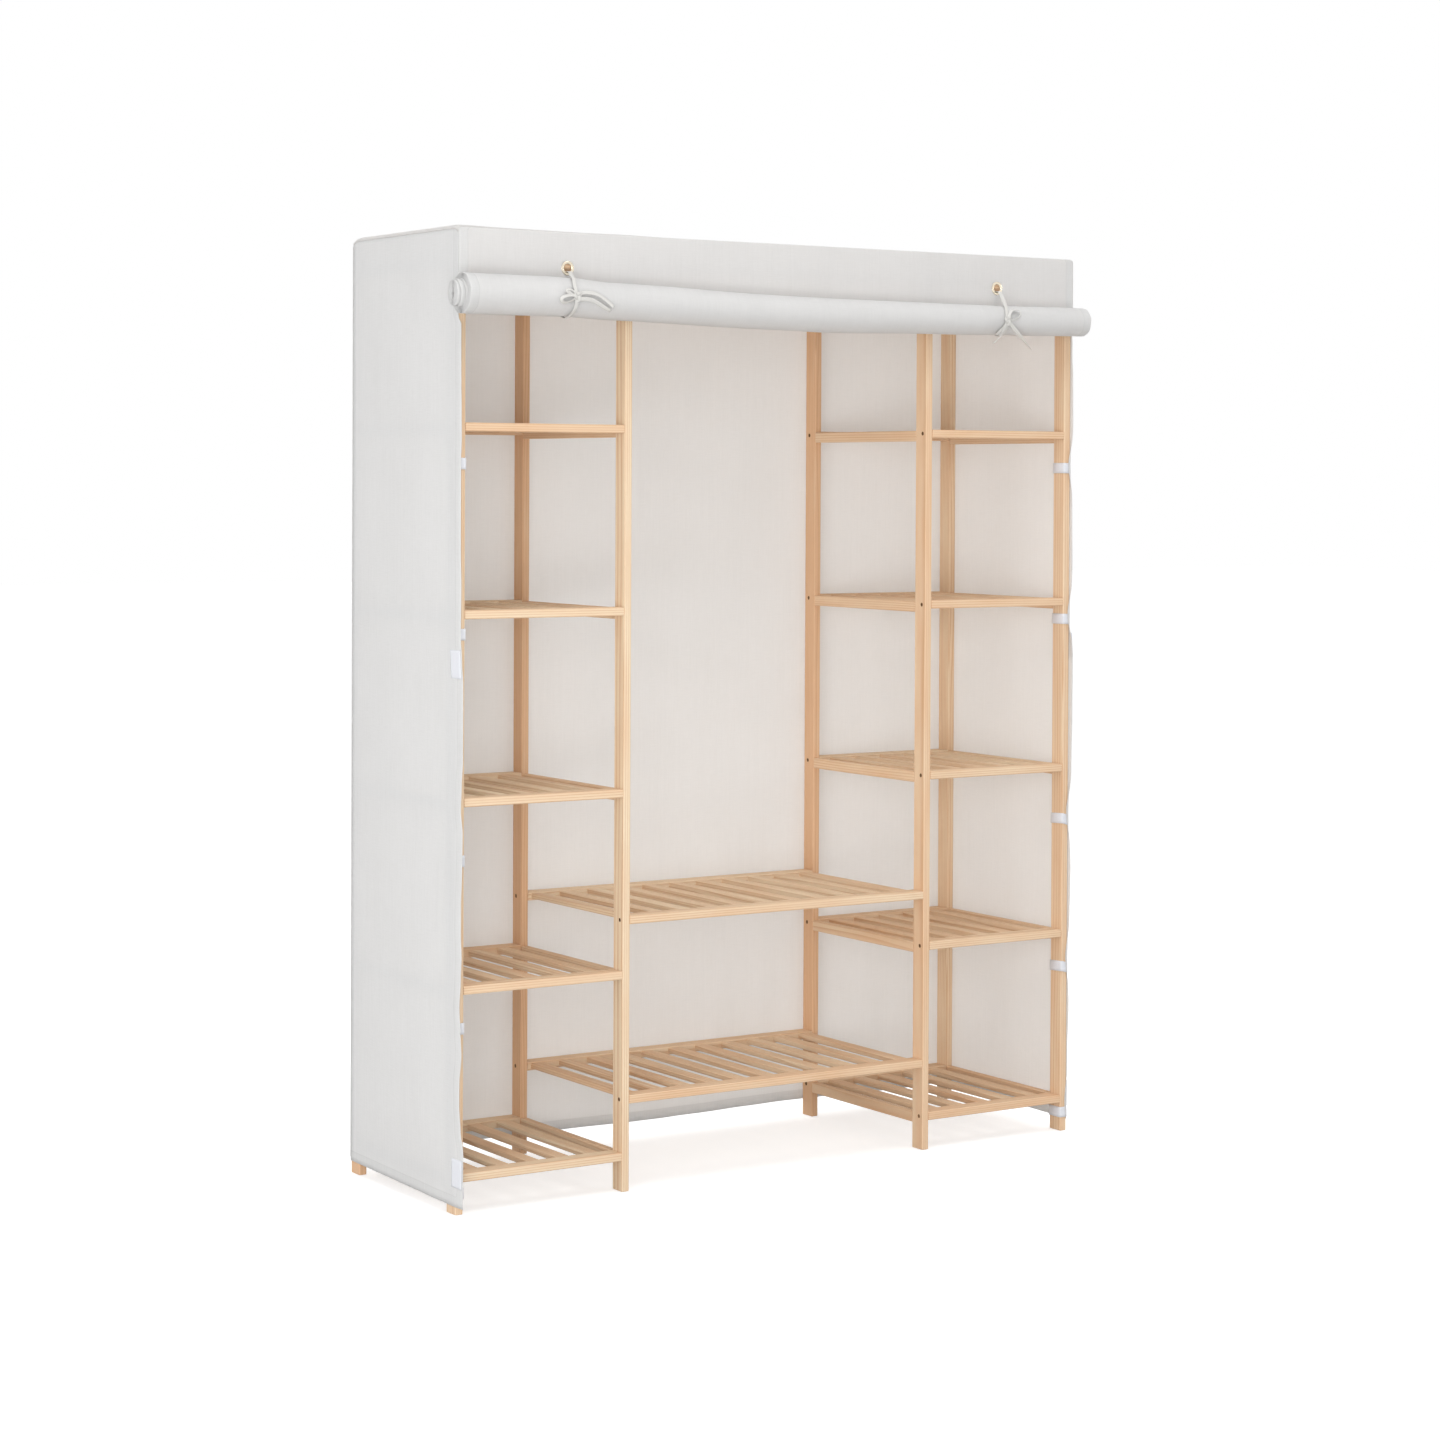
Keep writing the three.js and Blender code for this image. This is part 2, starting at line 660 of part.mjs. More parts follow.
function tieRoute(name, x) {
  const share = (x - knotShift - rollEndLeft) / (rollEndRight - rollEndLeft);
  const { radius, y, z } = rollAt(share);
  const off = tieClearance + tieDiameter / 2;
  const onRoll = (degrees, dx, lift = 0) => {
    const angle = THREE.MathUtils.degToRad(degrees);
    const wrap = rollReach(radius, ((360 - degrees) % 360) / 360) + off + lift;
    return new THREE.Vector3(x + dx, y + wrap * Math.cos(angle), z + wrap * Math.sin(angle));
  };
  const tail = ([dx, dz], i) => {
    const onFront = Math.sqrt((radius + off) ** 2 - Math.max(0, dz) ** 2);
    return new THREE.Vector3(x - knotShift + dx, y - onFront - (1 + 0.4 * i) * tieClearance, z + dz);
  };
  const { settle, first, second } = tieTails[name];
  const hole = eyeletHeight - 0.4 * tieDiameter;
  const points = [
    ...first.map(tail).reverse(),
    onRoll(settle, -knotShift + tieDiameter / 2 + tieClearance),
    onRoll(settle - 17, -0.8 * knotShift),
    onRoll(130, -0.6 * knotShift),
    onRoll(105, -0.4 * knotShift),
    onRoll(88, -0.25 * knotShift, 2 * tieClearance),
    new THREE.Vector3(x, doorFront - 2 * tieDiameter, hole),
    new THREE.Vector3(x, doorPlane, hole),
    new THREE.Vector3(x, doorBack + tieDiameter, hole - 0.2 * tieDiameter),
    new THREE.Vector3(x, doorBack + 2 * tieDiameter, hole - 1.2 * tieDiameter),
    new THREE.Vector3(x - 0.1 * knotShift, doorBack + 1.8 * tieDiameter, hole - 3 * tieDiameter),
    onRoll(0, -0.4 * knotShift),
    onRoll(-20, -0.5 * knotShift),
    onRoll(-40, -0.6 * knotShift),
    onRoll(-70, -0.7 * knotShift),
    onRoll(-100, -0.8 * knotShift),
    onRoll(-130, -0.9 * knotShift),
    onRoll(-155, -knotShift),
    onRoll(-172, -knotShift - tieClearance),
    ...second.map(tail),
  ];
  return new THREE.CatmullRomCurve3(points, false, 'centripetal');
}

function tieGeometry(name, x) {
  const circle = new THREE.Shape();
  circle.absarc(0, 0, tieDiameter / 2, 0, 2 * Math.PI, false);
  const tube = new THREE.ExtrudeGeometry(circle, {
    steps: 60, curveSegments: 4, bevelEnabled: false, extrudePath: tieRoute(name, x),
  });
  return stripped(tube);
}

for (const eyelet of eyelets) {
  addPiece(`${eyelet.name}_tie`, tieGeometry(eyelet.name, eyelet.x), tape);
}

// The group is set so that the origin is under the middle of the part, the rolled door included

const rollFront = doorBack - rollPitch / 2 - 2 * rollRadiusLeft;
const backFace = backOuter + backBelly;
const leftmost = rollEndLeft - rollTelescope;
wardrobe.position.set(-(leftmost + rollEndRight) / 2, -(rollFront + backFace) / 2, 0);
wardrobe.updateMatrixWorld(true);

export default wardrobe;
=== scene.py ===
# %% [markdown]
# A portable wardrobe in a white studio. The real one is a slatted pine rack that stands inside a fitted
# fabric cover, with the cover's door rolled up over the opening and tied.
# The rack comes in as finished CAD solids. Here the pine gets its grain and its screws, and the cloth, which
# CAD could only make stiff and thick, is made again as thin sheets with hems, seams and soft folds.

# %% Load the fixed frame
import math

import bmesh
import bpy
from mathutils import Matrix, Vector, noise


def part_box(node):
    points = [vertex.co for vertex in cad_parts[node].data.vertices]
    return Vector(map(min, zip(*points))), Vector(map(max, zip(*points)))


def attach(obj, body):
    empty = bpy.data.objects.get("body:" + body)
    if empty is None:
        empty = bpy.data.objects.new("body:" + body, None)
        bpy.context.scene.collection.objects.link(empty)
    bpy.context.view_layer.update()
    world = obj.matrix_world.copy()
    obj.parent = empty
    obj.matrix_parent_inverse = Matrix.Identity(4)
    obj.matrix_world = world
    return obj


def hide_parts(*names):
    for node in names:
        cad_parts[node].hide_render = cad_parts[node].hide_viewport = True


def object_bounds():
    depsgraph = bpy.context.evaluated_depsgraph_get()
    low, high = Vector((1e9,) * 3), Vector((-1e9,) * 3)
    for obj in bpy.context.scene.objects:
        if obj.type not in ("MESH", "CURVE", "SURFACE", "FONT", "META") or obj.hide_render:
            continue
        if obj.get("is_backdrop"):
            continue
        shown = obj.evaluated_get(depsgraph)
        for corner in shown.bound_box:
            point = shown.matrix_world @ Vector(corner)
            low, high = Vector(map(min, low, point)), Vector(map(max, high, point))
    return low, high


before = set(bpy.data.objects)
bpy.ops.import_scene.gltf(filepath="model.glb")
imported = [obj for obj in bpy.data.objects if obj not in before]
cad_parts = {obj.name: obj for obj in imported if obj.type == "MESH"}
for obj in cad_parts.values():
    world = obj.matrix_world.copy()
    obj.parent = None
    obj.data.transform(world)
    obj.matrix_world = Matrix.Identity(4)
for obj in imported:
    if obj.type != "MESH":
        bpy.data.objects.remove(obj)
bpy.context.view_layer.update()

# %% [markdown]
# Every size below is a real one in millimetres times MM, and the places come from the boxes of the CAD
# posts, so a changed rack takes its cover with it.

# %% Places that the rack gives
MM = 0.001
post_low, post_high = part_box("left_end_post_front")
LEFT = post_low.x
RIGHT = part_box("right_end_post_front")[1].x
FRONT = post_low.y
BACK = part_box("left_end_post_back")[1].y
TOP = post_high.z
MIDDLE = (LEFT + RIGHT) / 2
WIDTH = RIGHT - LEFT
DEPTH = BACK - FRONT
POST_THICKNESS = post_high.x - post_low.x
POST_WIDTH = post_high.y - post_low.y
print("rack, mm:", [round(v / MM) for v in (WIDTH, DEPTH, TOP)])

# %% [markdown]
# The camera stands where the photograph was taken from: a camera was fitted to the corners of the rack, and
# its place, its turn and its long lens are written here. The turn is built from the three directions that a
# camera has: to its right, up, and backwards. The photograph is cropped low, so the lens is shifted.

# %% The camera
def look(yaw, pitch, roll):
    """The turn of a camera that looks along yaw from +Y towards +X, with its pitch and roll, in degrees."""
    y, p, r = (math.radians(a) for a in (yaw, pitch, roll))
    ahead = Vector((math.sin(y), math.cos(y), 0))
    across = Vector((math.cos(y), -math.sin(y), 0))
    up = Vector((0, 0, 1))
    view = ahead * math.cos(p) + up * math.sin(p)
    lift = up * math.cos(p) - ahead * math.sin(p)
    right = across * math.cos(r) + lift * math.sin(r)
    top = lift * math.cos(r) - across * math.sin(r)
    return Matrix((right, top, -view)).transposed().to_4x4()


camera = bpy.data.objects.new("camera", bpy.data.cameras.new("camera"))
bpy.context.scene.collection.objects.link(camera)
camera.matrix_world = Matrix.Translation((-3.228, -4.9192, 1.2676)) @ look(33.054, -0.828, 0.268)
camera.data.sensor_width = 36
camera.data.lens = 78.455
camera.data.shift_y = -0.1354
bpy.context.scene.camera = camera
print("camera at", [round(v, 3) for v in camera.location], "lens", round(camera.data.lens, 1), "mm")

# %% [markdown]
# Colours are picked as sRGB hex values, as on a screen, and one function turns them into the linear values
# that Blender's sockets take. A second small function adds a node with its settings and links.

# %% Colour and node helpers
def linear(value):
    """A hex colour such as #E8D0A8 as linear red, green, blue and alpha."""
    parts = [int(value[i:i + 2], 16) / 255 for i in (1, 3, 5)]
    return (*[c / 12.92 if c <= 0.04045 else ((c + 0.055) / 1.055) ** 2.4 for c in parts], 1.0)


def add(tree, kind, inputs=None, **settings):
    """Adds a shader node. An input is a value, another node's output, or a node for its first output."""
    made = tree.nodes.new("ShaderNode" + kind)
    for name, value in settings.items():
        setattr(made, name, value)
    for name, value in (inputs or {}).items():
        if isinstance(value, bpy.types.Node):
            value = value.outputs[0]
        if isinstance(value, bpy.types.NodeSocket):
            tree.links.new(value, made.inputs[name])
        else:
            made.inputs[name].default_value = value
    return made


def new_material(name):
    """An empty material and its node tree."""
    material = bpy.data.materials.new(name)
    material.use_nodes = True
    material.node_tree.nodes.clear()
    return material, material.node_tree


print("pine front in linear light:", [round(c, 3) for c in linear("#E8D0A8")])

# %% [markdown]
# The ties lie on the rolled door, so the roll's axis is needed first. It sags between the ties, and the roll
# is thicker at its left end. The numbers are heights and radii from left to right, joined by smooth curves.

# %% Smooth steps and tables
def unit(value):
    """The value, held between 0 and 1."""
    return min(1, max(0, value))


def ease(value):
    """A smooth step from 0 to 1."""
    t = unit(value)
    return t * t * (3 - 2 * t)


def smooth_table(table, at):
    """Reads a table of rows, with a smooth step from each row to the next."""
    for (x0, *low), (x1, *high) in zip(table, table[1:]):
        if at <= x1:
            t = ease((at - x0) / (x1 - x0))
            return [a + (b - a) * t for a, b in zip(low, high)]
    return list(table[-1][1:])


print("a quarter along, a smooth step is at", ease(0.25))

# %% The axis of the roll
ROLL_LEFT = LEFT - 15.5 * MM
ROLL_RIGHT = RIGHT + 3 * MM
DOOR_PLANE = FRONT - 2.9 * MM
# Share of the roll's length, drop of its axis below the post tops in mm, radius in mm
ROLL_TABLE = [
    (0, 113.5, 35), (0.15, 113.5, 34.6), (0.22, 118, 33), (0.47, 125.5, 31.6), (0.55, 127, 31.4),
    (0.8, 124.5, 28.6), (0.88, 123, 28), (1, 121, 27.4),
]


def roll_at(share):
    """The middle of the roll's section, its y and z, and its radius."""
    drop, radius = smooth_table(ROLL_TABLE, share)
    return DOOR_PLANE - radius * MM, TOP - drop * MM, radius * MM


def roll_beside(x):
    return roll_at((x - ROLL_LEFT) / (ROLL_RIGHT - ROLL_LEFT))


def from_roll_axis(point):
    y, z, _ = roll_beside(point.x)
    return Vector((0, point.y - y, point.z - z)).normalized()


def on_roll(x, up, lift):
    """A point up round the front of the roll from its foremost line, and lifted off its skin."""
    y, z, radius = roll_beside(x)
    reach = radius + lift
    angle = up / reach
    return Vector((x, y - reach * math.cos(angle), z + reach * math.sin(angle)))


def clear_of_roll(point, lift):
    """The same point, moved out to lift off the roll's skin where it lies deeper."""
    y, z, radius = roll_beside(point.x)
    away = Vector((0, point.y - y, point.z - z))
    reach = radius + lift
    return point if away.length > reach else Vector((point.x, y, z)) + away.normalized() * reach


print("roll radius, mm:", [round(roll_at(s)[2] / MM, 1) for s in (0, 0.5, 1)])

# %% [markdown]
# The ties are narrow cotton tapes. Each goes through a brass eyelet in the hanging strip, and its two halves
# meet in a bow on the roll: one comes down the front, the other goes down behind the strip and up round the
# roll. The points below follow the route of the CAD tie, and a smooth curve through them carries a flat
# ribbon. The two free ends are routes of their own, since a tape leaves its knot with a fold that no smooth
# curve has.

# %% The routes of the ties
TIE_ROUTES = {
    "left_tie_front": [
        (-0.4555, -0.168, 1.6303), (-0.4565, -0.1755, 1.6296), (-0.464, -0.193, 1.6225),
        (-0.471, -0.207, 1.617), (-0.4765, -0.221, 1.6105), (-0.4805, -0.2312, 1.6035),
        (-0.4808, -0.2362, 1.5975), (-0.48, -0.2391, 1.589), (-0.479, -0.2402, 1.5815),
    ],
    "left_tie_back": [
        (-0.4555, -0.168, 1.6303), (-0.4557, -0.1653, 1.6301), (-0.4563, -0.1637, 1.6275),
        (-0.4597, -0.1634, 1.6207), (-0.4678, -0.1643, 1.5754), (-0.4705, -0.1667, 1.5618),
        (-0.4738, -0.1745, 1.5545), (-0.4772, -0.191, 1.548), (-0.48, -0.211, 1.5485),
        (-0.481, -0.2265, 1.5535), (-0.4805, -0.2365, 1.5616), (-0.4797, -0.24, 1.571),
        (-0.479, -0.2405, 1.5775),
    ],
    "left_tie_upper_end": [
        (-0.479, -0.2405, 1.584), (-0.47, -0.2396, 1.5888), (-0.455, -0.2384, 1.5905),
        (-0.438, -0.2382, 1.5878), (-0.422, -0.2382, 1.5795), (-0.4035, -0.2377, 1.5665),
    ],
    "left_tie_lower_end": [
        (-0.479, -0.2408, 1.5775), (-0.47, -0.2413, 1.5782), (-0.457, -0.2409, 1.5785),
        (-0.442, -0.2398, 1.5748), (-0.426, -0.2386, 1.5668), (-0.4105, -0.2375, 1.5595),
    ],
    "right_tie_front": [
        (0.4945, -0.168, 1.6303), (0.494, -0.1755, 1.629), (0.49, -0.189, 1.6185),
        (0.485, -0.201, 1.609), (0.48, -0.2125, 1.5995), (0.4755, -0.2206, 1.5905),
        (0.4738, -0.2249, 1.583), (0.4735, -0.2271, 1.5745),
    ],
    "right_tie_back": [
        (0.4945, -0.168, 1.6303), (0.4943, -0.1653, 1.6301), (0.4938, -0.1637, 1.6275),
        (0.4903, -0.1634, 1.6207), (0.4835, -0.1643, 1.5696), (0.482, -0.1665, 1.5578),
        (0.4805, -0.1725, 1.5512), (0.479, -0.1876, 1.5462), (0.477, -0.2035, 1.547),
        (0.475, -0.2165, 1.5505), (0.474, -0.2248, 1.5585), (0.4735, -0.2275, 1.5685),
    ],
    "right_tie_upper_end": [
        (0.474, -0.2278, 1.5715), (0.48, -0.2277, 1.5655), (0.489, -0.2276, 1.5566),
        (0.502, -0.2277, 1.5446), (0.516, -0.2276, 1.5316), (0.53, -0.2272, 1.5186),
    ],
    "right_tie_lower_end": [
        (0.473, -0.2278, 1.569), (0.469, -0.2281, 1.562), (0.462, -0.2284, 1.5515),
        (0.4515, -0.2286, 1.5385), (0.439, -0.2283, 1.5275),
    ],
}
print("routes:", len(TIE_ROUTES), "with", sum(map(len, TIE_ROUTES.values())), "points")

# %% A smooth curve through a route
PER_SPAN = 6  # points of the curve from one point of a route to the next


def smooth_route(points):
    """A centripetal Catmull-Rom curve through the points, which has no loops at close points."""
    points = [Vector(p) for p in points]
    padded = [2 * points[0] - points[1], *points, 2 * points[-1] - points[-2]]
    line = []
    for a, b, c, d in zip(padded, padded[1:], padded[2:], padded[3:]):
        t1 = (b - a).length ** 0.5
        t2 = t1 + (c - b).length ** 0.5
        t3 = t2 + (d - c).length ** 0.5
        for i in range(PER_SPAN):
            t = t1 + (t2 - t1) * i / PER_SPAN
            ab = a.lerp(b, t / t1)
            bc = b.lerp(c, (t - t1) / (t2 - t1))
            cd = c.lerp(d, (t - t2) / (t3 - t2))
            first = ab.lerp(bc, t / t2)
            second = bc.lerp(cd, (t - t1) / (t3 - t1))
            line.append(first.lerp(second, (t - t1) / (t2 - t1)))
    line.append(points[-1])
    return line


def lengths_along(line):
    """How far along a line of points each of them lies."""
    lengths = [0]
    for one, other in zip(line, line[1:]):
        lengths.append(lengths[-1] + (other - one).length)
    return lengths


def line_length(line):
    return lengths_along(line)[-1]


for side in ("left", "right"):
    halves = [smooth_route(points) for name, points in TIE_ROUTES.items() if name.startswith(side)]
    print(side, "tie is", round(sum(map(line_length, halves)) / MM), "mm from end to end")

# %% [markdown]
# A ribbon needs to know which way its flat face looks. On the roll that is away from the roll's axis, and
# the same rule holds well enough everywhere else. A free end also twists a little, as real tape does. A mesh
# function joins rings of points into a closed skin, and the knot and loops use it too.

# %% Skins round rings of points
def bridge(mesh, rows, closed=False, round_each=True):
    """Quads between each row of corners and the next. closed joins the last row to the first, and
    round_each joins the last corner of every row to its first."""
    count = len(rows[0])
    for one, other in zip(rows, rows[1:] + (rows[:1] if closed else [])):
        for i in range(count if round_each else count - 1):
            j = (i + 1) % count
            mesh.faces.new((one[i], one[j], other[j], other[i]))


def finished(name, mesh, smooth=True):
    """Turns a bmesh into an object of the scene."""
    data = bpy.data.meshes.new(name)
    mesh.to_mesh(data)
    mesh.free()
    if smooth:
        data.shade_smooth()
    made = bpy.data.objects.new(name, data)
    bpy.context.scene.collection.objects.link(made)
    return made


def skin(name, rings, closed=False):
    """A mesh round rings of points, with capped ends, or closed into a loop."""
    mesh = bmesh.new()
    rings = [[mesh.verts.new(point) for point in ring] for ring in rings]
    bridge(mesh, rings, closed)
    if not closed:
        mesh.faces.new(rings[0][::-1])
        mesh.faces.new(rings[-1])
    bmesh.ops.recalc_face_normals(mesh, faces=mesh.faces)
    return finished(name, mesh)


print("helpers for meshes:", [helper.__name__ for helper in (bridge, finished, skin)])

# %% Ribbons along a line
TAPE_WIDTH = 7.5 * MM
TAPE_THICKNESS = 1.0 * MM
# Half of a tape's rounded section: shares of its half width and its half thickness
TAPE_SECTION = [(-1, 0), (-0.86, 0.8), (-0.4, 1), (0.4, 1), (0.86, 0.8)]
TAPE_SECTION += [(-x, -y) for x, y in TAPE_SECTION]


def ribbon(name, line, outward, width, thickness, closed=False, twist=0):
    """A flat tape with rounded edges along a line. outward(point) is where its flat face looks, and twist is
    how many degrees it has turned by its end."""
    rings = []
    last = len(line) - 1
    for i, point in enumerate(line):
        if closed:
            along = line[(i + 1) % len(line)] - line[i - 1]
        else:
            along = line[min(i + 1, last)] - line[max(i - 1, 0)]
        along.normalize()
        face = outward(point)
        face = (face - along * face.dot(along)).normalized()
        face.rotate(Matrix.Rotation(math.radians(twist) * (i / last) ** 2, 3, along))
        across = along.cross(face)
        rings.append([point + across * (x * width / 2) + face * (y * thickness / 2) for x, y in TAPE_SECTION])
    return skin(name, rings, closed)


print("tape:", TAPE_WIDTH / MM, "x", TAPE_THICKNESS / MM, "mm")

# %% [markdown]
# Each half of a tie is one ribbon along its route, lifted off the roll where the smooth curve would dip into
# it. The free ends twist on their way, which turns their flat faces to and from the light.

# %% Tie tapes
OFF_ROLL = 2.2 * MM
TWISTS = {"left_tie_upper_end": -35, "left_tie_lower_end": 25,
          "right_tie_upper_end": 65, "right_tie_lower_end": -40}
tapes = {}
for name, points in TIE_ROUTES.items():
    line = [clear_of_roll(point, OFF_ROLL) for point in smooth_route(points)]
    tape = ribbon(name, line, from_roll_axis, TAPE_WIDTH, TAPE_THICKNESS, twist=TWISTS.get(name, 0))
    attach(tape, "door")
    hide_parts("left_tie" if name.startswith("left") else "right_tie")
    tapes[name] = (tape, line)
    print(name, round(line_length(line) / MM), "mm")

# %% [markdown]
# Each tie ends in a bow. A knot in tape is a small lump with a visible turn over the top, and a trefoil
# curve, pulled narrow and pressed flat, has just that look. The loops of the bow are closed curves, and
# their points are given on the roll: millimetres sideways from the knot, up round the roll, and off its skin.

# %% Knots and loops
KNOT_SIZE = 2.7 * MM
KNOT_LIFT = 4.2 * MM
KNOT_POINTS = 72
KNOTS = {"left": (-0.479, -0.5 * MM), "right": (0.4738, -1.5 * MM)}
BOW_LOOPS = {
    "left": [
        [(-3, 0, 4), (-9, 1.5, 4.5), (-20, 0.5, 5.5), (-31, -3.5, 6), (-33, -8.5, 6), (-26, -12.5, 5.5),
         (-14, -9.5, 4.5), (-5, -4, 4)],
        [(-1, 2, 4), (-7, 8, 4.5), (-15, 12, 5), (-21, 9.5, 5), (-15, 4.5, 4.5), (-6, 1, 4)],
    ],
    "right": [
        [(1, 1, 4), (4, 11, 4.5), (11, 19, 5), (22, 22, 5.5), (31, 18, 6), (28, 9, 5.5), (16, 2, 5),
         (6, 0, 4)],
        [(0, -3, 3.5), (-7, -14, 4), (-14, -27, 4.5), (-15, -33, 5), (-10, -32, 5.5), (-4.5, -19, 5),
         (0, -8, 4.5)],
    ],
}


def knot_line(centre, out):
    """Points of a trefoil that lies flat on the roll, with out as its normal."""
    side = Vector((1, 0, 0))
    up = out.cross(side).normalized()
    if up.z < 0:
        up = -up
    line = []
    for i in range(KNOT_POINTS):
        t = 2 * math.pi * i / KNOT_POINTS
        across = 0.8 * (math.sin(t) + 2 * math.sin(2 * t))
        along = math.cos(t) - 2 * math.cos(2 * t)
        lift = -0.55 * math.sin(3 * t)
        line.append(centre + (side * across + up * along + out * lift) * KNOT_SIZE)
    return line


print("loops:", {side: len(loops) for side, loops in BOW_LOOPS.items()})

# %% Bows
cotton_pieces = [tape for tape, _ in tapes.values()]
for side, (knot_x, knot_up) in KNOTS.items():
    centre = on_roll(knot_x, knot_up, KNOT_LIFT)
    out = from_roll_axis(centre)
    pieces = [ribbon(f"{side}_tie_knot", knot_line(centre, out), lambda p: out,
                     0.75 * TAPE_WIDTH, 1.5 * TAPE_THICKNESS, closed=True)]
    for i, places in enumerate(BOW_LOOPS[side]):
        line = [on_roll(knot_x + x * MM, knot_up + up * MM, lift * MM) for x, up, lift in places]
        line = smooth_route(line[-2:] + line + line[:2])[2 * PER_SPAN:-2 * PER_SPAN - 1]
        middle = sum(line, Vector()) / len(line)
        pieces.append(ribbon(f"{side}_tie_loop_{i + 1}", line,
                             lambda p: from_roll_axis(p) * 0.75 + (p - middle).normalized() * 0.65,
                             0.85 * TAPE_WIDTH, TAPE_THICKNESS, closed=True))
    for piece in pieces:
        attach(piece, "door")
    cotton_pieces += pieces
    print(side, "knot at", [round(v, 3) for v in centre], "with 2 loops")

# %% [markdown]
# A sheet of cloth is built as a grid of points that also remembers its flat pattern: each point stores how
# far along and across the uncut cloth it lies, in metres, as a UV map. The weave follows that map, so it
# bends with the cloth, even round the roll. A second value on each point, the distance from the nearest
# sewn edge, lets the material draw its hems and stitches. Solidify then gives the sheet its thickness. A
# hole for an eyelet takes a patch of four by four cells out of the grid and fills it again up to a circle.

# %% Cloth from a grid
CLOTH_THICKNESS = 0.9 * MM
NO_HEM = 0.5  # a distance that no hem reaches


def thicken(sheet, thickness, offset=0):
    solid = sheet.modifiers.new("thickness", "SOLIDIFY")
    solid.thickness = thickness
    solid.offset = offset


def cloth_sheet(name, rows, edges, holes=()):
    """A sheet through rows of points. edges says which sides are hemmed: top, bottom, left, right. Each hole
    is the column and row where its patch of cells starts, and its radius."""
    across = lengths_along(rows[len(rows) // 2])
    down = lengths_along([row[len(row) // 2] for row in rows])
    mesh = bmesh.new()
    flat = mesh.loops.layers.uv.new("flat")
    hem = mesh.verts.layers.float.new("hem_distance")
    inside = {(i + a, j + b) for i, j, _ in holes for a in (1, 2, 3) for b in (1, 2, 3)}
    cut = {(i + a, j + b) for i, j, _ in holes for a in range(4) for b in range(4)}
    grid = {}
    for j, row in enumerate(rows):
        for i, point in enumerate(row):
            if (i, j) in inside:
                continue
            sides = {"left": across[i], "right": across[-1] - across[i], "top": down[j],
                     "bottom": down[-1] - down[j]}
            grid[i, j] = mesh.verts.new(point)
            grid[i, j][hem] = min([NO_HEM] + [sides[edge] for edge in edges])

    def cell(corners):
        face = mesh.faces.new([vert for vert, _ in corners])
        for loop, (_, place) in zip(face.loops, corners):
            loop[flat].uv = place

    for j in range(len(rows) - 1):
        for i in range(len(rows[0]) - 1):
            if (i, j) not in cut:
                cell([(grid[a, b], (across[a], down[b]))
                      for a, b in ((i, j), (i, j + 1), (i + 1, j + 1), (i + 1, j))])
    for i, j, radius in holes:
        middle, flat_middle = rows[j + 2][i + 2], Vector((across[i + 2], down[j + 2]))
        outline = [(i, j + k) for k in range(4)] + [(i + k, j + 4) for k in range(4)]
        outline += [(i + 4, j + 4 - k) for k in range(4)] + [(i + 4 - k, j) for k in range(4)]
        ring = []
        for a, b in outline:
            way, flat_way = rows[b][a] - middle, Vector((across[a], down[b])) - flat_middle
            share = radius / way.length
            vert = mesh.verts.new(middle + way * share)
            vert[hem] = grid[a, b][hem]
            ring.append(((grid[a, b], flat_middle + flat_way), (vert, flat_middle + flat_way * share)))
        for (one, inner), (other, next_inner) in zip(ring, ring[1:] + ring[:1]):
            cell([one, other, next_inner, inner])
    made = finished(name, mesh)
    thicken(made, CLOTH_THICKNESS)
    made["flat_size"] = (across[-1], down[-1])
    return made


print("cloth:", round(CLOTH_THICKNESS / MM, 1), "mm thick")

# %% Folds, and what a sheet stands for
def soft(point, size, seed=0):
    """Smooth noise from -1 to 1 that changes over about size metres."""
    return noise.noise(Vector(point) / size + Vector((seed * 7.3, seed * 3.1, seed * 1.7)))


def spread_out(low, high, count):
    return [low + (high - low) * i / (count - 1) for i in range(count)]


def declare(piece, node):
    """Hides the CAD node that a sheet stands for, and puts the sheet among the cover pieces and on its body.
    """
    cover_pieces.append(piece)
    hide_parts(node)
    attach(piece, "door" if node == "door_curtain" else "frame")


cover_pieces = []
print("soft noise at one point:", round(soft((0.27, 0, 1), 0.1), 3))

# %% [markdown]
# The side panels hang flat behind the front posts. Their front edges were never pressed, so they wander in
# front of the posts. The left one curls in and all but hides its post, and the straps fold the right one's
# edge in. The tables give heights, and how far the edge stands in front of the posts there, both in
# millimetres as measured up the photograph.

# %% Edges of the side panels
SEAM = 0.3 * MM
OFF_WOOD = SEAM + 0.6 * MM
TOP_EDGE = TOP + 1.5 * MM
TOP_ROUND = 7 * MM
SIDE_TOP = TOP_EDGE - TOP_ROUND - SEAM
LEFT_EDGE = [
    (0, 26), (95, 26), (134, 16.5), (176, 12), (219, 12), (265, 19), (305, 15), (348, 11), (398, 15.5),
    (435, 18.5), (477, 15), (520, 15), (580, 19), (650, 21), (690, 14), (734, 16.5), (780, 21),
    (908, 21), (949, 16.5), (990, 12), (1076, 13), (1130, 11), (1290, 10.5), (1333, 13), (1376, 11.5),
    (1430, 10.5), (1500, 10), (1700, 9),
]
LEFT_CURL = 1.4 * MM
RIGHT_EDGE = [
    (0, 1), (136, 1.5), (220, 4.5), (320, 2), (400, 5.5), (490, 7.3), (590, 4), (680, 7.5), (800, 10),
    (920, 11), (1000, 7.5), (1100, 7.5), (1240, 6), (1360, 7.5), (1470, 6.3), (1510, 3.3), (1700, 2),
]
LEAST_STAND = 1.5 * MM
ROOF_LIFT = 5 * MM
ROUND_OFF = 24 * MM
FRONT_RISE = 14 * MM
STRAP_HEIGHTS = [36.5, 320.7, 609.2, 999.5, 1293.1]
STRAP_REACH = 38


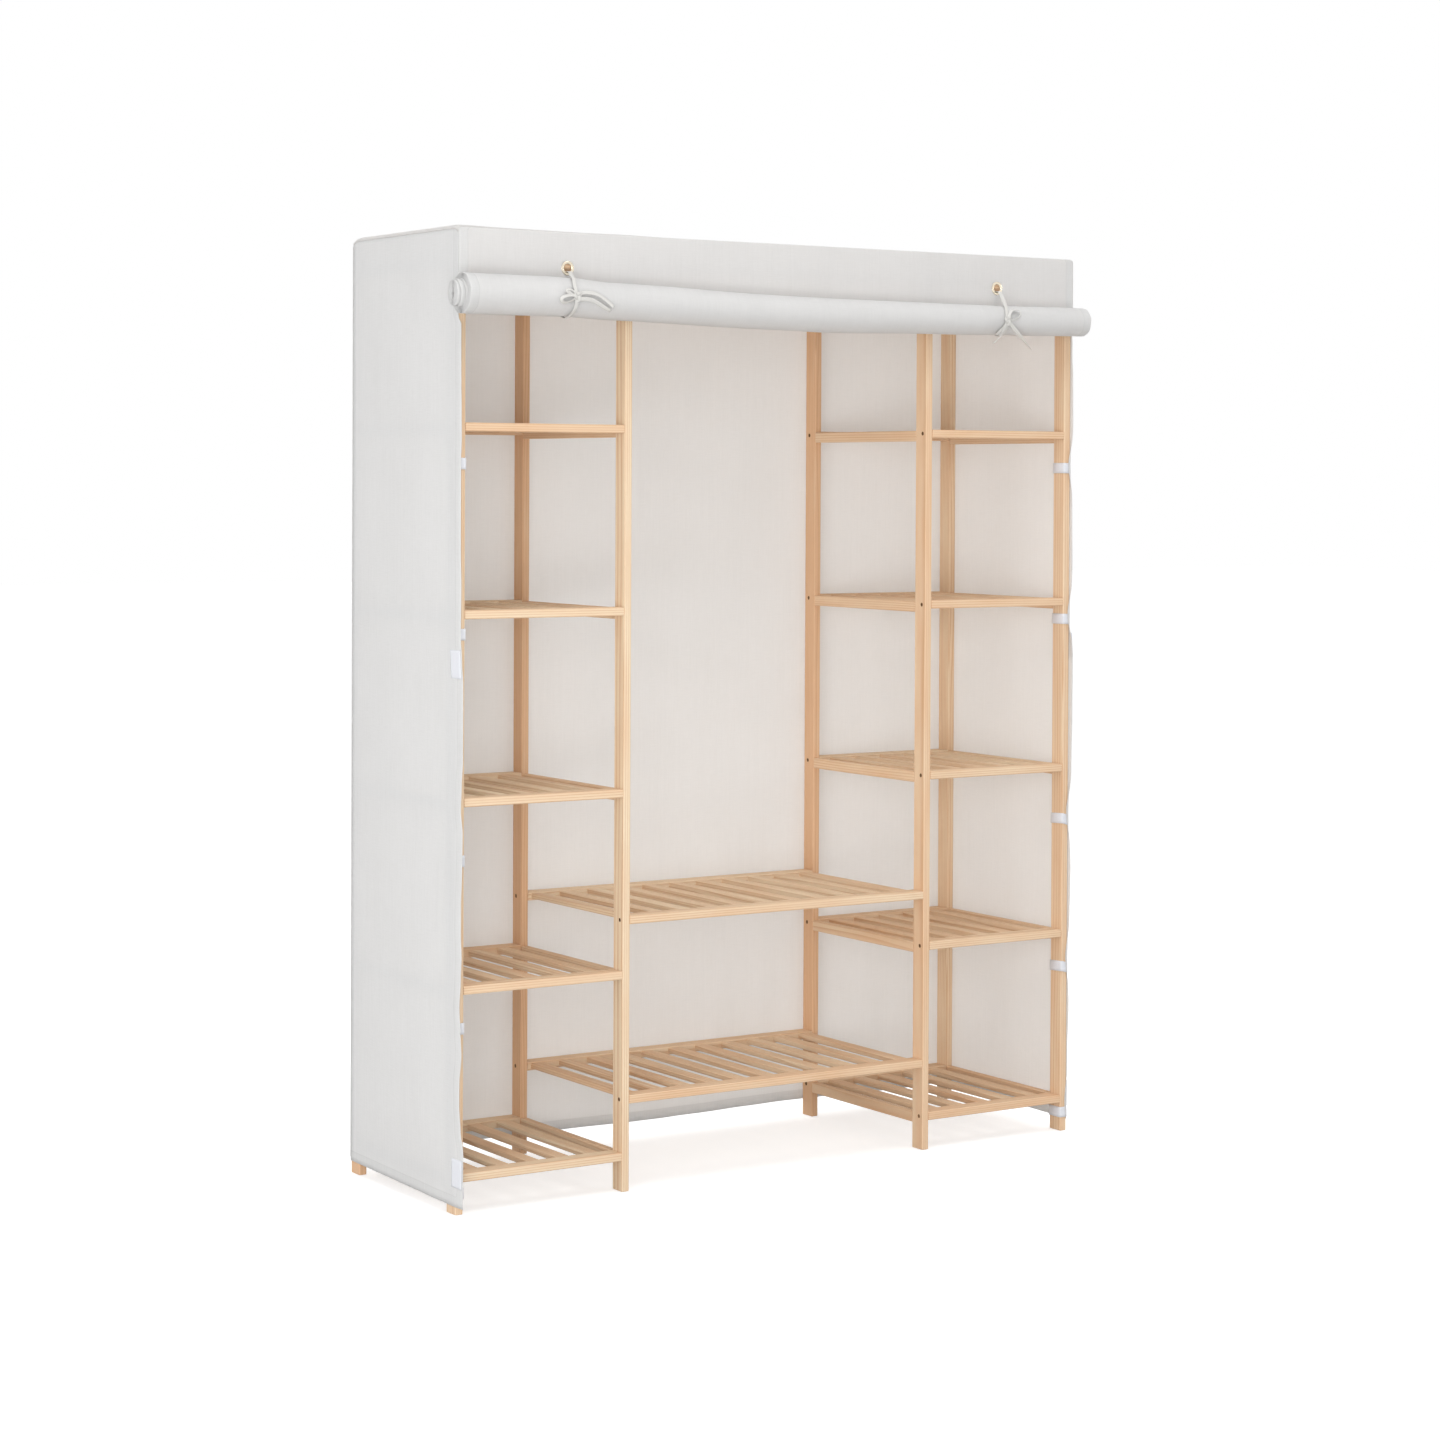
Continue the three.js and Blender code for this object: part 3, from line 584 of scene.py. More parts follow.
def edge_stand(table, z):
    """How far the front edge of a side panel stands in front of the posts, at a height."""
    stand = smooth_table(table, z / MM)[0] * MM
    roll_under = roll_at(0)[1] - roll_at(0)[2] - 6 * MM
    return min(stand, LEAST_STAND + max(0, roll_under - z))


def roof_lift(x, y):
    """How far the slack roof rides above the posts: most at the left, and nothing at its front and back.

    It rises slowly enough from the front for the raised door to clear it."""
    leftwards = unit((MIDDLE + 50 * MM - x) / (700 * MM))
    back = unit((y - BACK + ROUND_OFF) / ROUND_OFF)
    return ROOF_LIFT * leftwards * (1 - back * back) * ease((y - FRONT) / FRONT_RISE)


def strap_pull(z):
    """1 at a strap's height and 0 well above and below it."""
    return max(math.exp(-((z / MM - height) / STRAP_REACH) ** 2) for height in STRAP_HEIGHTS)


print("left edge 1 m up stands", round(edge_stand(LEFT_EDGE, 1) / MM, 1), "mm in front of its post")

# %% Side panels
SIDE_STEPS = 180
SIDE_SHARES = [s / 60 for s in [0, 0.35, 0.7, 1, 1.4, 1.8, 2.3, 3, 4, 5, 6] + list(range(8, 61, 2))]
FOLD_IN = 7.5 * MM
FOLDED_STAND = 3.2 * MM


def side_rows(side, table, fold, hem_front, hem_back):
    """Rows of the panel from its top to its hem. side is -1 for the left panel and 1 for the right one, and
    fold says how far its straps fold its edge in, from 0 to 1."""
    face = MIDDLE + side * WIDTH / 2
    rows = []
    for j in range(SIDE_STEPS + 1):
        t = 1 - j / SIDE_STEPS
        level = SIDE_TOP * t
        stand = edge_stand(table, level)
        pull = fold * strap_pull(level)
        row = []
        for flat in SIDE_SHARES:
            y = -stand + (DEPTH + stand) * flat
            hem = hem_front + (hem_back - hem_front) * max(0, y) / DEPTH
            top = SIDE_TOP + roof_lift(face, FRONT + y)
            z = hem + (top - hem) * t
            x = OFF_WOOD
            turned = max(0, -y / stand)
            if y < 0 and pull > 0.02:
                x -= pull * FOLD_IN * turned ** 1.5
                y = -max(0, stand - (stand - FOLDED_STAND) * pull) * turned
            if side < 0:
                x -= LEFT_CURL * turned ** 1.5 * min(1, stand / (10 * MM))
            between_posts = unit((y - POST_WIDTH) / (90 * MM))
            between_posts *= unit((DEPTH - POST_WIDTH * 0.4 - y) / (60 * MM))
            belly = 1.9 * math.sin(math.pi * flat) ** 2 * (2 + math.sin(3 * math.pi * t)) / 3
            belly += between_posts * 1.5 * soft((0, y, z * 0.35), 0.09, 3 + side)
            belly += between_posts * 0.9 * soft((0, y * 2, z * 0.5), 0.06, 9 + side) * (1 - t) ** 2
            top_hold = min(1, (1 - t) * 9)
            x += max(-0.3, belly * top_hold) * MM
            if y < POST_WIDTH * 0.6:
                x += 0.5 * MM * soft((0, y * 3, z), 0.08, 5 + side) * (1 - pull) * top_hold
            row.append(Vector((face + side * x, FRONT + y, z)))
        rows.append(row if side < 0 else row[::-1])
    return rows


for name, rows in (("left", side_rows(-1, LEFT_EDGE, 0, 15 * MM, 22 * MM)),
                   ("right", side_rows(1, RIGHT_EDGE, 1, 23 * MM, 29 * MM))):
    side_cloth = cloth_sheet(f"{name}_side_cloth", rows, ["bottom", name])
    declare(side_cloth, f"cover_{name}_side")

# %% [markdown]
# The back panel is held at the posts and falls freely between them, so it bellies out a little and its
# lower part hangs in upright folds. The roof lies on the eight post tops and sags between them, and at the
# left, where it is slack, it rides a little above them.

# %% Back panel
BACK_PLANE = BACK + OFF_WOOD
BACK_HEM = 29 * MM
SHEET_HALF = WIDTH / 2 + SEAM + 1.2 * MM
POST_MIDDLES = [sum(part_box(f"{name}_post_back"), Vector()).x / 2
                for name in ("left_end", "left_inner", "right_inner", "right_end")]


def held_by_posts(x, width=22 * MM):
    """0 on a post and 1 well away from all of them."""
    away = min(abs(x - place) for place in POST_MIDDLES)
    return ease((away - width / 2) / (70 * MM))


def rounded_corner(z):
    """How much narrower a sheet is at a height, where its upper corners are round."""
    above = max(0, z - (TOP_EDGE - TOP_ROUND))
    return TOP_ROUND - math.sqrt(max(0, TOP_ROUND ** 2 - above ** 2))


def back_rows():
    rows = []
    for t in spread_out(1, 0, 141):
        row = []
        for s in spread_out(1, -1, 149):
            z_flat = BACK_HEM + (TOP_EDGE - BACK_HEM) * t
            x = MIDDLE + s * (SHEET_HALF - rounded_corner(z_flat))
            free = held_by_posts(x) * min(1, (1 - t) * 6)
            low = (1 - t) ** 1.6
            fold = 1.3 * soft((x, 0, z_flat * 0.25), 0.11, 21)
            fold += 2.4 * low * soft((x, 0, z_flat * 0.2), 0.06, 22)
            y = free * (2.2 + fold) * MM
            z = z_flat + (1 - t) * 5 * MM * soft((x, 0, 0), 0.22, 23)
            row.append(Vector((x, BACK_PLANE + max(-0.4 * MM, min(6.5 * MM, y)), z)))
        rows.append(row)
    return rows


back_cloth = cloth_sheet("back_cloth", back_rows(), ["bottom"])
declare(back_cloth, "cover_back")

# %% Roof
ROOF_ROUND = 6.4 * MM
SAG = 2.6


def roof_rows():
    """Across the roof and down over both ends, from the front edge to the back edge."""
    corner = WIDTH / 2 + OFF_WOOD - ROOF_ROUND
    profile = [(-corner - ROOF_ROUND * math.sin(a), -ROOF_ROUND * (1 - math.cos(a)))
               for a in spread_out(math.pi / 2, math.pi / 16, 7)]
    profile += [(x, 0) for x in spread_out(-corner, corner, 101)]
    profile += [(-x, drop) for x, drop in profile[6::-1]]
    rows = []
    for y in spread_out(FRONT - 1.7 * MM, FRONT + 16 * MM, 6) + spread_out(FRONT + 28 * MM, BACK, 32):
        row = []
        for x, drop in profile:
            over = held_by_posts(MIDDLE + x, 30 * MM)
            inwards = unit(min(y - FRONT, BACK - y) / (45 * MM))
            sag = over * inwards * (SAG + 0.9 * soft((x, y, 0), 0.14, 31)) * MM
            row.append(Vector((MIDDLE + x, y, TOP + OFF_WOOD + roof_lift(MIDDLE + x, y) + drop - sag)))
        rows.append(row)
    return rows


roof_cloth = cloth_sheet("roof_cloth", roof_rows()[::-1], [])
declare(roof_cloth, "cover_top")

# %% [markdown]
# The door is one sheet: the strip that hangs from the roof, and then thirteen turns of a spiral. CAD winds
# three and a half thick turns in the same place. Here the turns are as tight as the cloth lets them be, and
# the inner ones have slipped out of the left end and are pressed oval, as in the photograph.

# %% Lines of the door's grid
EYELETS = [sum(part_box(f"{side}_eyelet"), Vector()) / 2 for side in ("left", "right")]
EYELET_HOLE = 7.5 * MM
CLOTH_HOLE = EYELET_HOLE + 1.2 * MM
PATCH = [14 * MM * k for k in (-1, -0.5, 0, 0.5, 1)]
STRIP_DROPS = [0, 1.5 * MM, 3.5 * MM, 7 * MM, 20 * MM, 34 * MM]
PATCH_ROW = len(STRIP_DROPS)
STRIP_DROPS += [TOP_EDGE - EYELETS[0].z + away for away in PATCH]


def share_of_strip(x):
    return 0.5 + (x - MIDDLE) / (2 * SHEET_HALF)


def roll_stations():
    """Shares of the roll's length, closer together at its ends and ties, and set out round each eyelet."""
    stations = [0, 0.003, 0.008, 0.014, 0.986, 0.992, 0.997, 1] + spread_out(0.0208, 0.9792, 47)
    stations += [0.143, 0.149, 0.839, 0.846]
    for eyelet in EYELETS:
        patch = [share_of_strip(eyelet.x + away) for away in PATCH]
        margin = 0.1 * (patch[-1] - patch[0])
        stations = [s for s in stations if not patch[0] - margin <= s <= patch[-1] + margin] + patch
    return sorted(stations)


stations = roll_stations()
print("lines down the door:", len(stations))

# %% The rolled door
TURNS = 13
STEPS_PER_TURN = 26
EYELET_REACH = 30 * MM
TIE_REACH = 16 * MM
CORE_SLIP = 16.5 * MM


def near(x, places, reach):
    """1 at any of the places and 0 well away from all of them."""
    return max(math.exp(-((x - place) / reach) ** 2) for place in places)


def door_column(share):
    """One line of the cloth, from the roof down the strip and round into the core of the roll."""
    y0, z0, radius = roll_at(share)
    strip_x = MIDDLE + SHEET_HALF * (2 * share - 1)
    roll_x = ROLL_LEFT + (ROLL_RIGHT - ROLL_LEFT) * share
    lowest = TOP_EDGE - (z0 + radius * 0.25)
    taut = near(strip_x, [eyelet.x for eyelet in EYELETS], EYELET_REACH)
    pinch = near(roll_x, [knot_x for knot_x, _ in KNOTS.values()], TIE_REACH)
    line = []
    for drop in STRIP_DROPS + spread_out(STRIP_DROPS[-1], lowest, 5)[1:]:
        below_patch = max(0, drop - STRIP_DROPS[-1]) / (lowest - STRIP_DROPS[-1])
        x = strip_x - rounded_corner(TOP_EDGE - drop) * (2 * share - 1) + (roll_x - strip_x) * below_patch
        free = math.sin(math.pi * min(1, 1.1 * drop / lowest)) * (1 - taut)
        y = DOOR_PLANE - free * max(-0.4, 0.7 + 1.3 * soft((x, 0, -drop * 0.6), 0.13, 41)) * MM
        line.append(Vector((x, y, TOP_EDGE - drop)))
    core = (8 - 3 * share) * MM
    steps = TURNS * STEPS_PER_TURN
    for i in range(1, steps + 1):
        inward = i / steps
        outer = 1 - inward
        angle = 2 * math.pi * i / STEPS_PER_TURN
        r = radius + (core - radius) * inward + 0.5 * MM * outer
        r *= 1 - 0.035 * pinch * outer
        bump = soft((roll_x * 0.6, math.cos(angle) * 0.05, math.sin(angle) * 0.05), 0.045, 51)
        r += 0.55 * MM * bump * outer ** 2
        oval = unit((inward - 0.3) / 0.7) * (1 - share)
        slip = unit((inward - 0.4) / 0.16) * CORE_SLIP * max(0, 1 - share * 2.5)
        slip += 0.6 * MM * math.sin(i * 1.7) * outer
        y = y0 + r * math.cos(angle) * (1 - 0.26 * oval)
        z = z0 - r * math.sin(angle) * (1 + 0.3 * oval)
        line.append(Vector((roll_x - slip, y, z)))
    return line


columns = [door_column(share) for share in stations]
door_rows = [list(row) for row in zip(*columns)]
patch_columns = [stations.index(share_of_strip(eyelet.x + PATCH[0])) for eyelet in EYELETS]
door_cloth = cloth_sheet("door_cloth", door_rows, ["left", "right", "bottom"],
                         holes=[(column, PATCH_ROW, CLOTH_HOLE) for column in patch_columns])
declare(door_cloth, "door_curtain")
print("door:", len(columns), "columns,", len(door_rows), "rows")

# %% [markdown]
# Nearly all of the cover is plain-woven polyester, off-white and matt. Up close a weave is rows of threads
# with slightly thicker ones among them; from where the camera stands it only softens the light. The real
# threads are about 0.4 mm apart, which is too fine for the picture, so the weave is drawn at 1.6 mm.
# The colour stays almost even: a few per cent of slow change, a darker line along each row of stitches, and
# a little painted shade in the hems, where the cloth lies double and lets less light through. Each sheet
# also says how sheer it is: the rungs behind the left panel hardly show in the photograph, and the door
# lies in many layers, so these two pass less light than the others.

# %% Woven polyester
THREAD = 1.6 * MM
ALONG_THREAD = 0.06 / THREAD
SLUB_WIDTH = 5 * MM
SLUB_LENGTH = 180 * MM
HEM = 18 * MM
STITCH_LINE = 0.9 * MM
SHEER = {"left_side_cloth": 0.5, "door_cloth": 0.85}


def woven_polyester(name, colour, deep):
    material, tree = new_material(name)
    uv = add(tree, "UVMap", uv_map="flat")
    across = add(tree, "Mapping", {"Vector": uv, "Scale": (1 / THREAD, ALONG_THREAD, 1)})
    along = add(tree, "Mapping", {"Vector": uv, "Scale": (ALONG_THREAD, 1 / THREAD, 1)})
    warp = add(tree, "TexNoise", {"Vector": across, "Scale": 1.0, "Detail": 1.0})
    weft = add(tree, "TexNoise", {"Vector": along, "Scale": 1.0, "Detail": 1.0})
    weave = add(tree, "Math", {0: warp, 1: weft}, operation="ADD")
    distance = add(tree, "Attribute", attribute_name="hem_distance").outputs["Fac"]
    from_line = add(tree, "Math", {0: distance, 1: HEM}, operation="SUBTRACT")
    off_line = add(tree, "Math", {0: from_line}, operation="ABSOLUTE")
    stitch = add(tree, "MapRange", {"Value": off_line, "From Min": STITCH_LINE, "From Max": 0.0})
    doubled = add(tree, "Math", {0: distance, 1: HEM}, operation="LESS_THAN")
    long_thread = add(tree, "Mapping", {"Vector": uv, "Scale": (1 / SLUB_WIDTH, 1 / SLUB_LENGTH, 1)})
    slub = add(tree, "TexNoise", {"Vector": long_thread, "Scale": 1.0, "Detail": 2.0})
    slow = add(tree, "TexNoise", {"Vector": uv, "Scale": 7.0, "Detail": 3.0})
    depth = add(tree, "MapRange", {"Value": weave, "From Min": 0.7, "From Max": 1.3,
                                   "To Min": 0.2, "To Max": 0.0})
    # The doubled hems add painted shade to the colour here, a darker tone for the light that the double layer
    # keeps out.
    for part, weight in ((slub, 0.3), (slow, 0.25), (doubled, 0.3), (stitch, 0.6)):
        depth = add(tree, "Math", {0: part, 1: weight, 2: depth}, operation="MULTIPLY_ADD")
    mix = add(tree, "Mix", {"Factor": depth, "A": linear(colour), "B": linear(deep)}, data_type="RGBA")
    height = add(tree, "Math", {0: stitch, 1: -1.5, 2: weave}, operation="MULTIPLY_ADD")
    bump = add(tree, "Bump", {"Height": height, "Strength": 0.35, "Distance": 0.2 * MM})
    shader = add(tree, "BsdfPrincipled", {
        "Base Color": mix.outputs["Result"], "Roughness": 0.88, "Specular IOR Level": 0.3,
        "Sheen Weight": 0.1, "Sheen Roughness": 0.5, "Normal": bump})
    through = add(tree, "BsdfTranslucent", {"Color": linear("#F3F0ED"), "Normal": bump})
    sheer = add(tree, "Attribute", attribute_type="OBJECT", attribute_name="sheer").outputs["Fac"]
    single = add(tree, "MapRange", {"Value": doubled, "To Min": 0.4, "To Max": 0.26})
    share = add(tree, "Math", {0: single, 1: sheer}, operation="MULTIPLY")
    thin = add(tree, "MixShader", {0: share, 1: shader, 2: through})
    add(tree, "OutputMaterial", {"Surface": thin})
    return material


cover_weave = woven_polyester("plain_woven_polyester", "#EFEFEF", "#D5D5D4")
for piece in cover_pieces:
    piece.data.materials.append(cover_weave)
    piece["sheer"] = SHEER.get(piece.name, 1.0)
print(cover_weave.name, "on", len(cover_pieces), "sheets")

# %% [markdown]
# The ties, the straps and the small pads are whiter than the cover: bleached cotton tape for the ties, and
# brushed nylon for the hook-and-loop parts. Both are matt, with a fine rib or fuzz.

# %% Tape and nylon
def fuzzy_tape(name, colour, deep, roughness, grain):
    material, tree = new_material(name)
    place = add(tree, "TexCoord").outputs["Object"]
    fuzz = add(tree, "TexNoise", {"Vector": place, "Scale": 1 / grain, "Detail": 2.0})
    mix = add(tree, "Mix", {"Factor": fuzz, "A": linear(colour), "B": linear(deep)}, data_type="RGBA")
    bump = add(tree, "Bump", {"Height": fuzz, "Strength": 0.4, "Distance": 0.2 * MM})
    shader = add(tree, "BsdfPrincipled", {
        "Base Color": mix.outputs["Result"], "Roughness": roughness, "Specular IOR Level": 0.3,
        "Sheen Weight": 0.2, "Normal": bump})
    add(tree, "OutputMaterial", {"Surface": shader})
    return material


cotton_tape = fuzzy_tape("bleached_cotton_tape", "#DAD9D6", "#C2C0BB", 0.9, 1.2 * MM)
brushed_nylon = fuzzy_tape("brushed_nylon_loop", "#E6E7EC", "#D6D8DE", 0.8, 0.9 * MM)
for piece in cotton_pieces:
    piece.data.materials.append(cotton_tape)
print(cotton_tape.name, "on", len(cotton_pieces), "pieces")

# %% [markdown]
# Straps hold the side panels to the front posts. Each is a band of the same brushed nylon, sewn to the panel
# behind the post, that goes round the post and closes on itself in front. A strip of cloth through a few
# points round the post gives it, and it is thin enough to bend sharply at the post's corners.

# %% Straps round the posts
STRAP_WIDTH = 20 * MM
STRAP_OFF_POST = 0.9 * MM
STRAP_CORNER = 1.0 * MM
TILTS = {"left": [0, 0.5, 0.5, 0, 0], "right": [0, 1.6, 1.8, 0.4, 0.3]}


def strap_line(side, height, tilt):
    """The way of a strap round its post, with its rise in front of the post. side is -1 for the left post."""
    outer = WIDTH / 2 + 0.5 * MM
    inner = WIDTH / 2 - POST_THICKNESS - STRAP_OFF_POST
    front = -STRAP_OFF_POST
    back = POST_WIDTH + STRAP_OFF_POST
    way = [(outer, front, -1), (outer - 4 * MM, front, -0.7), (inner + 5 * MM, front, 0.6),
           (inner + STRAP_CORNER, front, 1), (inner, front + STRAP_CORNER, 1), (inner, POST_WIDTH / 2, 0.6),
           (inner, back - STRAP_CORNER, 0), (inner + STRAP_CORNER, back, 0), (outer - 4 * MM, back, 0),
           (outer, back, 0)]
    return [Vector((MIDDLE + side * x, FRONT + y, height + tilt * lift)) for x, y, lift in way]


def strap(name, side, height, tilt):
    way = strap_line(side, height, tilt)
    rows = [[point + Vector((0, 0, STRAP_WIDTH * up)) for point in way] for up in (0.5, 0.25, 0, -0.25, -0.5)]
    made = cloth_sheet(name, rows, ["top", "bottom"])
    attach(made, "frame")
    made.data.materials.append(brushed_nylon)


for label, side in (("left", -1), ("right", 1)):
    for i, (height, tilt) in enumerate(zip(STRAP_HEIGHTS, TILTS[label])):
        strap(f"{label}_strap_{i + 1}", side, height * MM, tilt * MM)
print("straps:", 2 * len(STRAP_HEIGHTS))

# %% [markdown]
# Hook-and-loop pads are sewn near the front edge of each side panel, where the closed door would stick to
# them. They are thin, but their rounded edge catches the light, so each is a small pillow with a rim.

# %% Hook-and-loop pads
PAD_WIDTH = 36 * MM
PAD_HEIGHTS = [(48, 98), (924, 973)]


def pad(name, side, table, low, high):
    """A pad on a side panel from a low to a high height in mm. side is -1 for the left panel."""
    face = MIDDLE + side * (WIDTH / 2 + OFF_WOOD + 0.45 * MM)
    mesh = bmesh.new()
    rows = []
    for t in spread_out(0, 1, 15):
        z = (low + (high - low) * t) * MM
        edge = 1.5 * MM - edge_stand(table, z)
        row = []
        for s in spread_out(0, 1, 11):
            rim = min(1, 9 * min(s, 1 - s, t, 1 - t) + 0.25)
            y = edge + PAD_WIDTH * s
            x = face + side * (0.95 * rim + 0.35 * soft((0, y * 3, z), 0.08, 5 + side)) * MM
            row.append(mesh.verts.new((x, FRONT + y, z)))
        rows.append(row)
    bridge(mesh, rows, round_each=False)
    made = finished(name, mesh)
    thicken(made, 0.8 * MM, -side)
    made.data.materials.append(brushed_nylon)
    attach(made, "frame")


for label, side, table in (("left", -1, LEFT_EDGE), ("right", 1, RIGHT_EDGE)):
    for i, (low, high) in enumerate(PAD_HEIGHTS):
        pad(f"{label}_pad_{i + 1}", side, table, low, high)
print("pads: 4, each", PAD_WIDTH / MM, "mm wide")

# %% [markdown]
# The eyelets are pressed from thin brass tube and sheet: a barrel through the cloth with a rolled flange on
# each side. A profile turned about the hole gives the round lip that a flat ring would lack. Stamped brass
# is a bright, pale yellow metal that the press leaves nearly smooth, so it mirrors the studio. Handling
# scratches it a little, which noise gives as small changes of its tone and roughness.

# %% Brass eyelets
# Share of the flange's width, and depth in mm: up the barrel, over the round lip, out to the rim, and back
LIP = [(0, -0.6), (0.08, -1.3), (0.26, -1.72), (0.46, -1.75), (0.74, -1.45), (0.93, -1.15), (1, -0.92),
       (0.14, -0.85)]


def circle(sides):
    """The angles of evenly spaced points on a circle."""
    return [2 * math.pi * i / sides for i in range(sides)]


def eyelet_ring(name, centre, rim):
    """The lip in front and its mirror behind, turned about the hole's axis."""
    section = [(EYELET_HOLE + (rim - EYELET_HOLE) * share, depth * MM) for share, depth in LIP]
    section += [(r, -depth) for r, depth in section[::-1]]
    rings = [[centre + Vector((r * math.cos(a), depth, r * math.sin(a))) for r, depth in section]
             for a in circle(56)]
    return skin(name, rings, closed=True)


def stamped_brass(name):
    material, tree = new_material(name)
    place = add(tree, "TexCoord").outputs["Object"]
    wear = add(tree, "TexNoise", {"Vector": place, "Scale": 400.0, "Detail": 3.0})
    rough = add(tree, "MapRange", {"Value": wear, "To Min": 0.2, "To Max": 0.34})
    mix = add(tree, "Mix", {"Factor": wear, "A": linear("#F1EADB"), "B": linear("#E2D3B6")}, data_type="RGBA")
    shader = add(tree, "BsdfPrincipled", {
        "Base Color": mix.outputs["Result"], "Metallic": 1.0, "Roughness": rough})
    add(tree, "OutputMaterial", {"Surface": shader})
    return material


brass = stamped_brass("stamped_brass")
for side in ("left", "right"):
    low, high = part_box(f"{side}_eyelet")
    eyelet = eyelet_ring(f"{side}_eyelet_ring", (low + high) / 2, (high.x - low.x) / 2)
    eyelet.data.materials.append(brass)
    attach(eyelet, "door")
    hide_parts(f"{side}_eyelet")
print("eyelets:", [round(v / MM, 1) for v in (high - low)], "mm")

# %% [markdown]
# The rack is planed Scots pine with no varnish. A pine batten shows its growth rings as long stripes, soft
# wide pale bands and thin darker ones, because each batten is sawn from far off the heart of the tree. The
# rings are 2 to 4 mm apart on such wood, and 4.2 mm here, so that they show. So the pattern is rings about
# an axis that lies far outside the batten, stretched along the grain and bent a little by slow noise, and
# each batten takes its own place in the tree. Some battens are creamy sapwood and some redder heartwood,
# which each piece says by a number of its own, redness.

# %% Slats and rails of a panel
SLAT_PITCH = 61 * MM
SEED_SPREAD = 97.0  # sets the random numbers of two pieces well apart


def batten_of_panel(tree, own, x, y):
    """A seed for each slat and rail of a slatted panel, and its places along and across its grain."""
    middle = add(tree, "Math", {0: y, 1: (FRONT + BACK) / 2}, operation="SUBTRACT")
    away = add(tree, "Math", {0: middle}, operation="ABSOLUTE")
    rail = add(tree, "Math", {0: away, 1: DEPTH / 2 - POST_WIDTH - 0.1 * MM}, operation="GREATER_THAN")
    cell = add(tree, "Math", {0: x, 1: MIDDLE + SLAT_PITCH / 2}, operation="SUBTRACT")
    cell = add(tree, "Math", {0: cell, 1: 1 / SLAT_PITCH}, operation="MULTIPLY")
    cell = add(tree, "Math", {0: cell}, operation="FLOOR")
    side = add(tree, "Math", {0: middle, 1: 0.0}, operation="GREATER_THAN")
    side = add(tree, "Math", {0: side, 1: 40.0, 2: 7.0}, operation="MULTIPLY_ADD")
    which, along, wide = (add(tree, "Mix", {"Factor": rail, "A": slat, "B": other}).outputs["Result"]
                          for slat, other in ((cell, side), (y, x), (x, y)))
    return add(tree, "Math", {0: own, 1: SEED_SPREAD, 2: which}, operation="MULTIPLY_ADD"), along, wide


print("slats every", round(SLAT_PITCH / MM), "mm")

# %% Planed pine
RING = 4.2 * MM
HEART_NEAREST = 50 * MM
HEART_SPREAD = 600 * MM
HEART_LEAN = 70 * MM
ALONG_GRAIN = 0.12  # the pattern changes this much slower along the grain than across it
GRAIN_BEND = 22 * MM
RING_TONES = [(0.0, 0.0), (0.5, 0.12), (0.8, 0.8), (0.9, 1.0), (1.0, 0.1)]


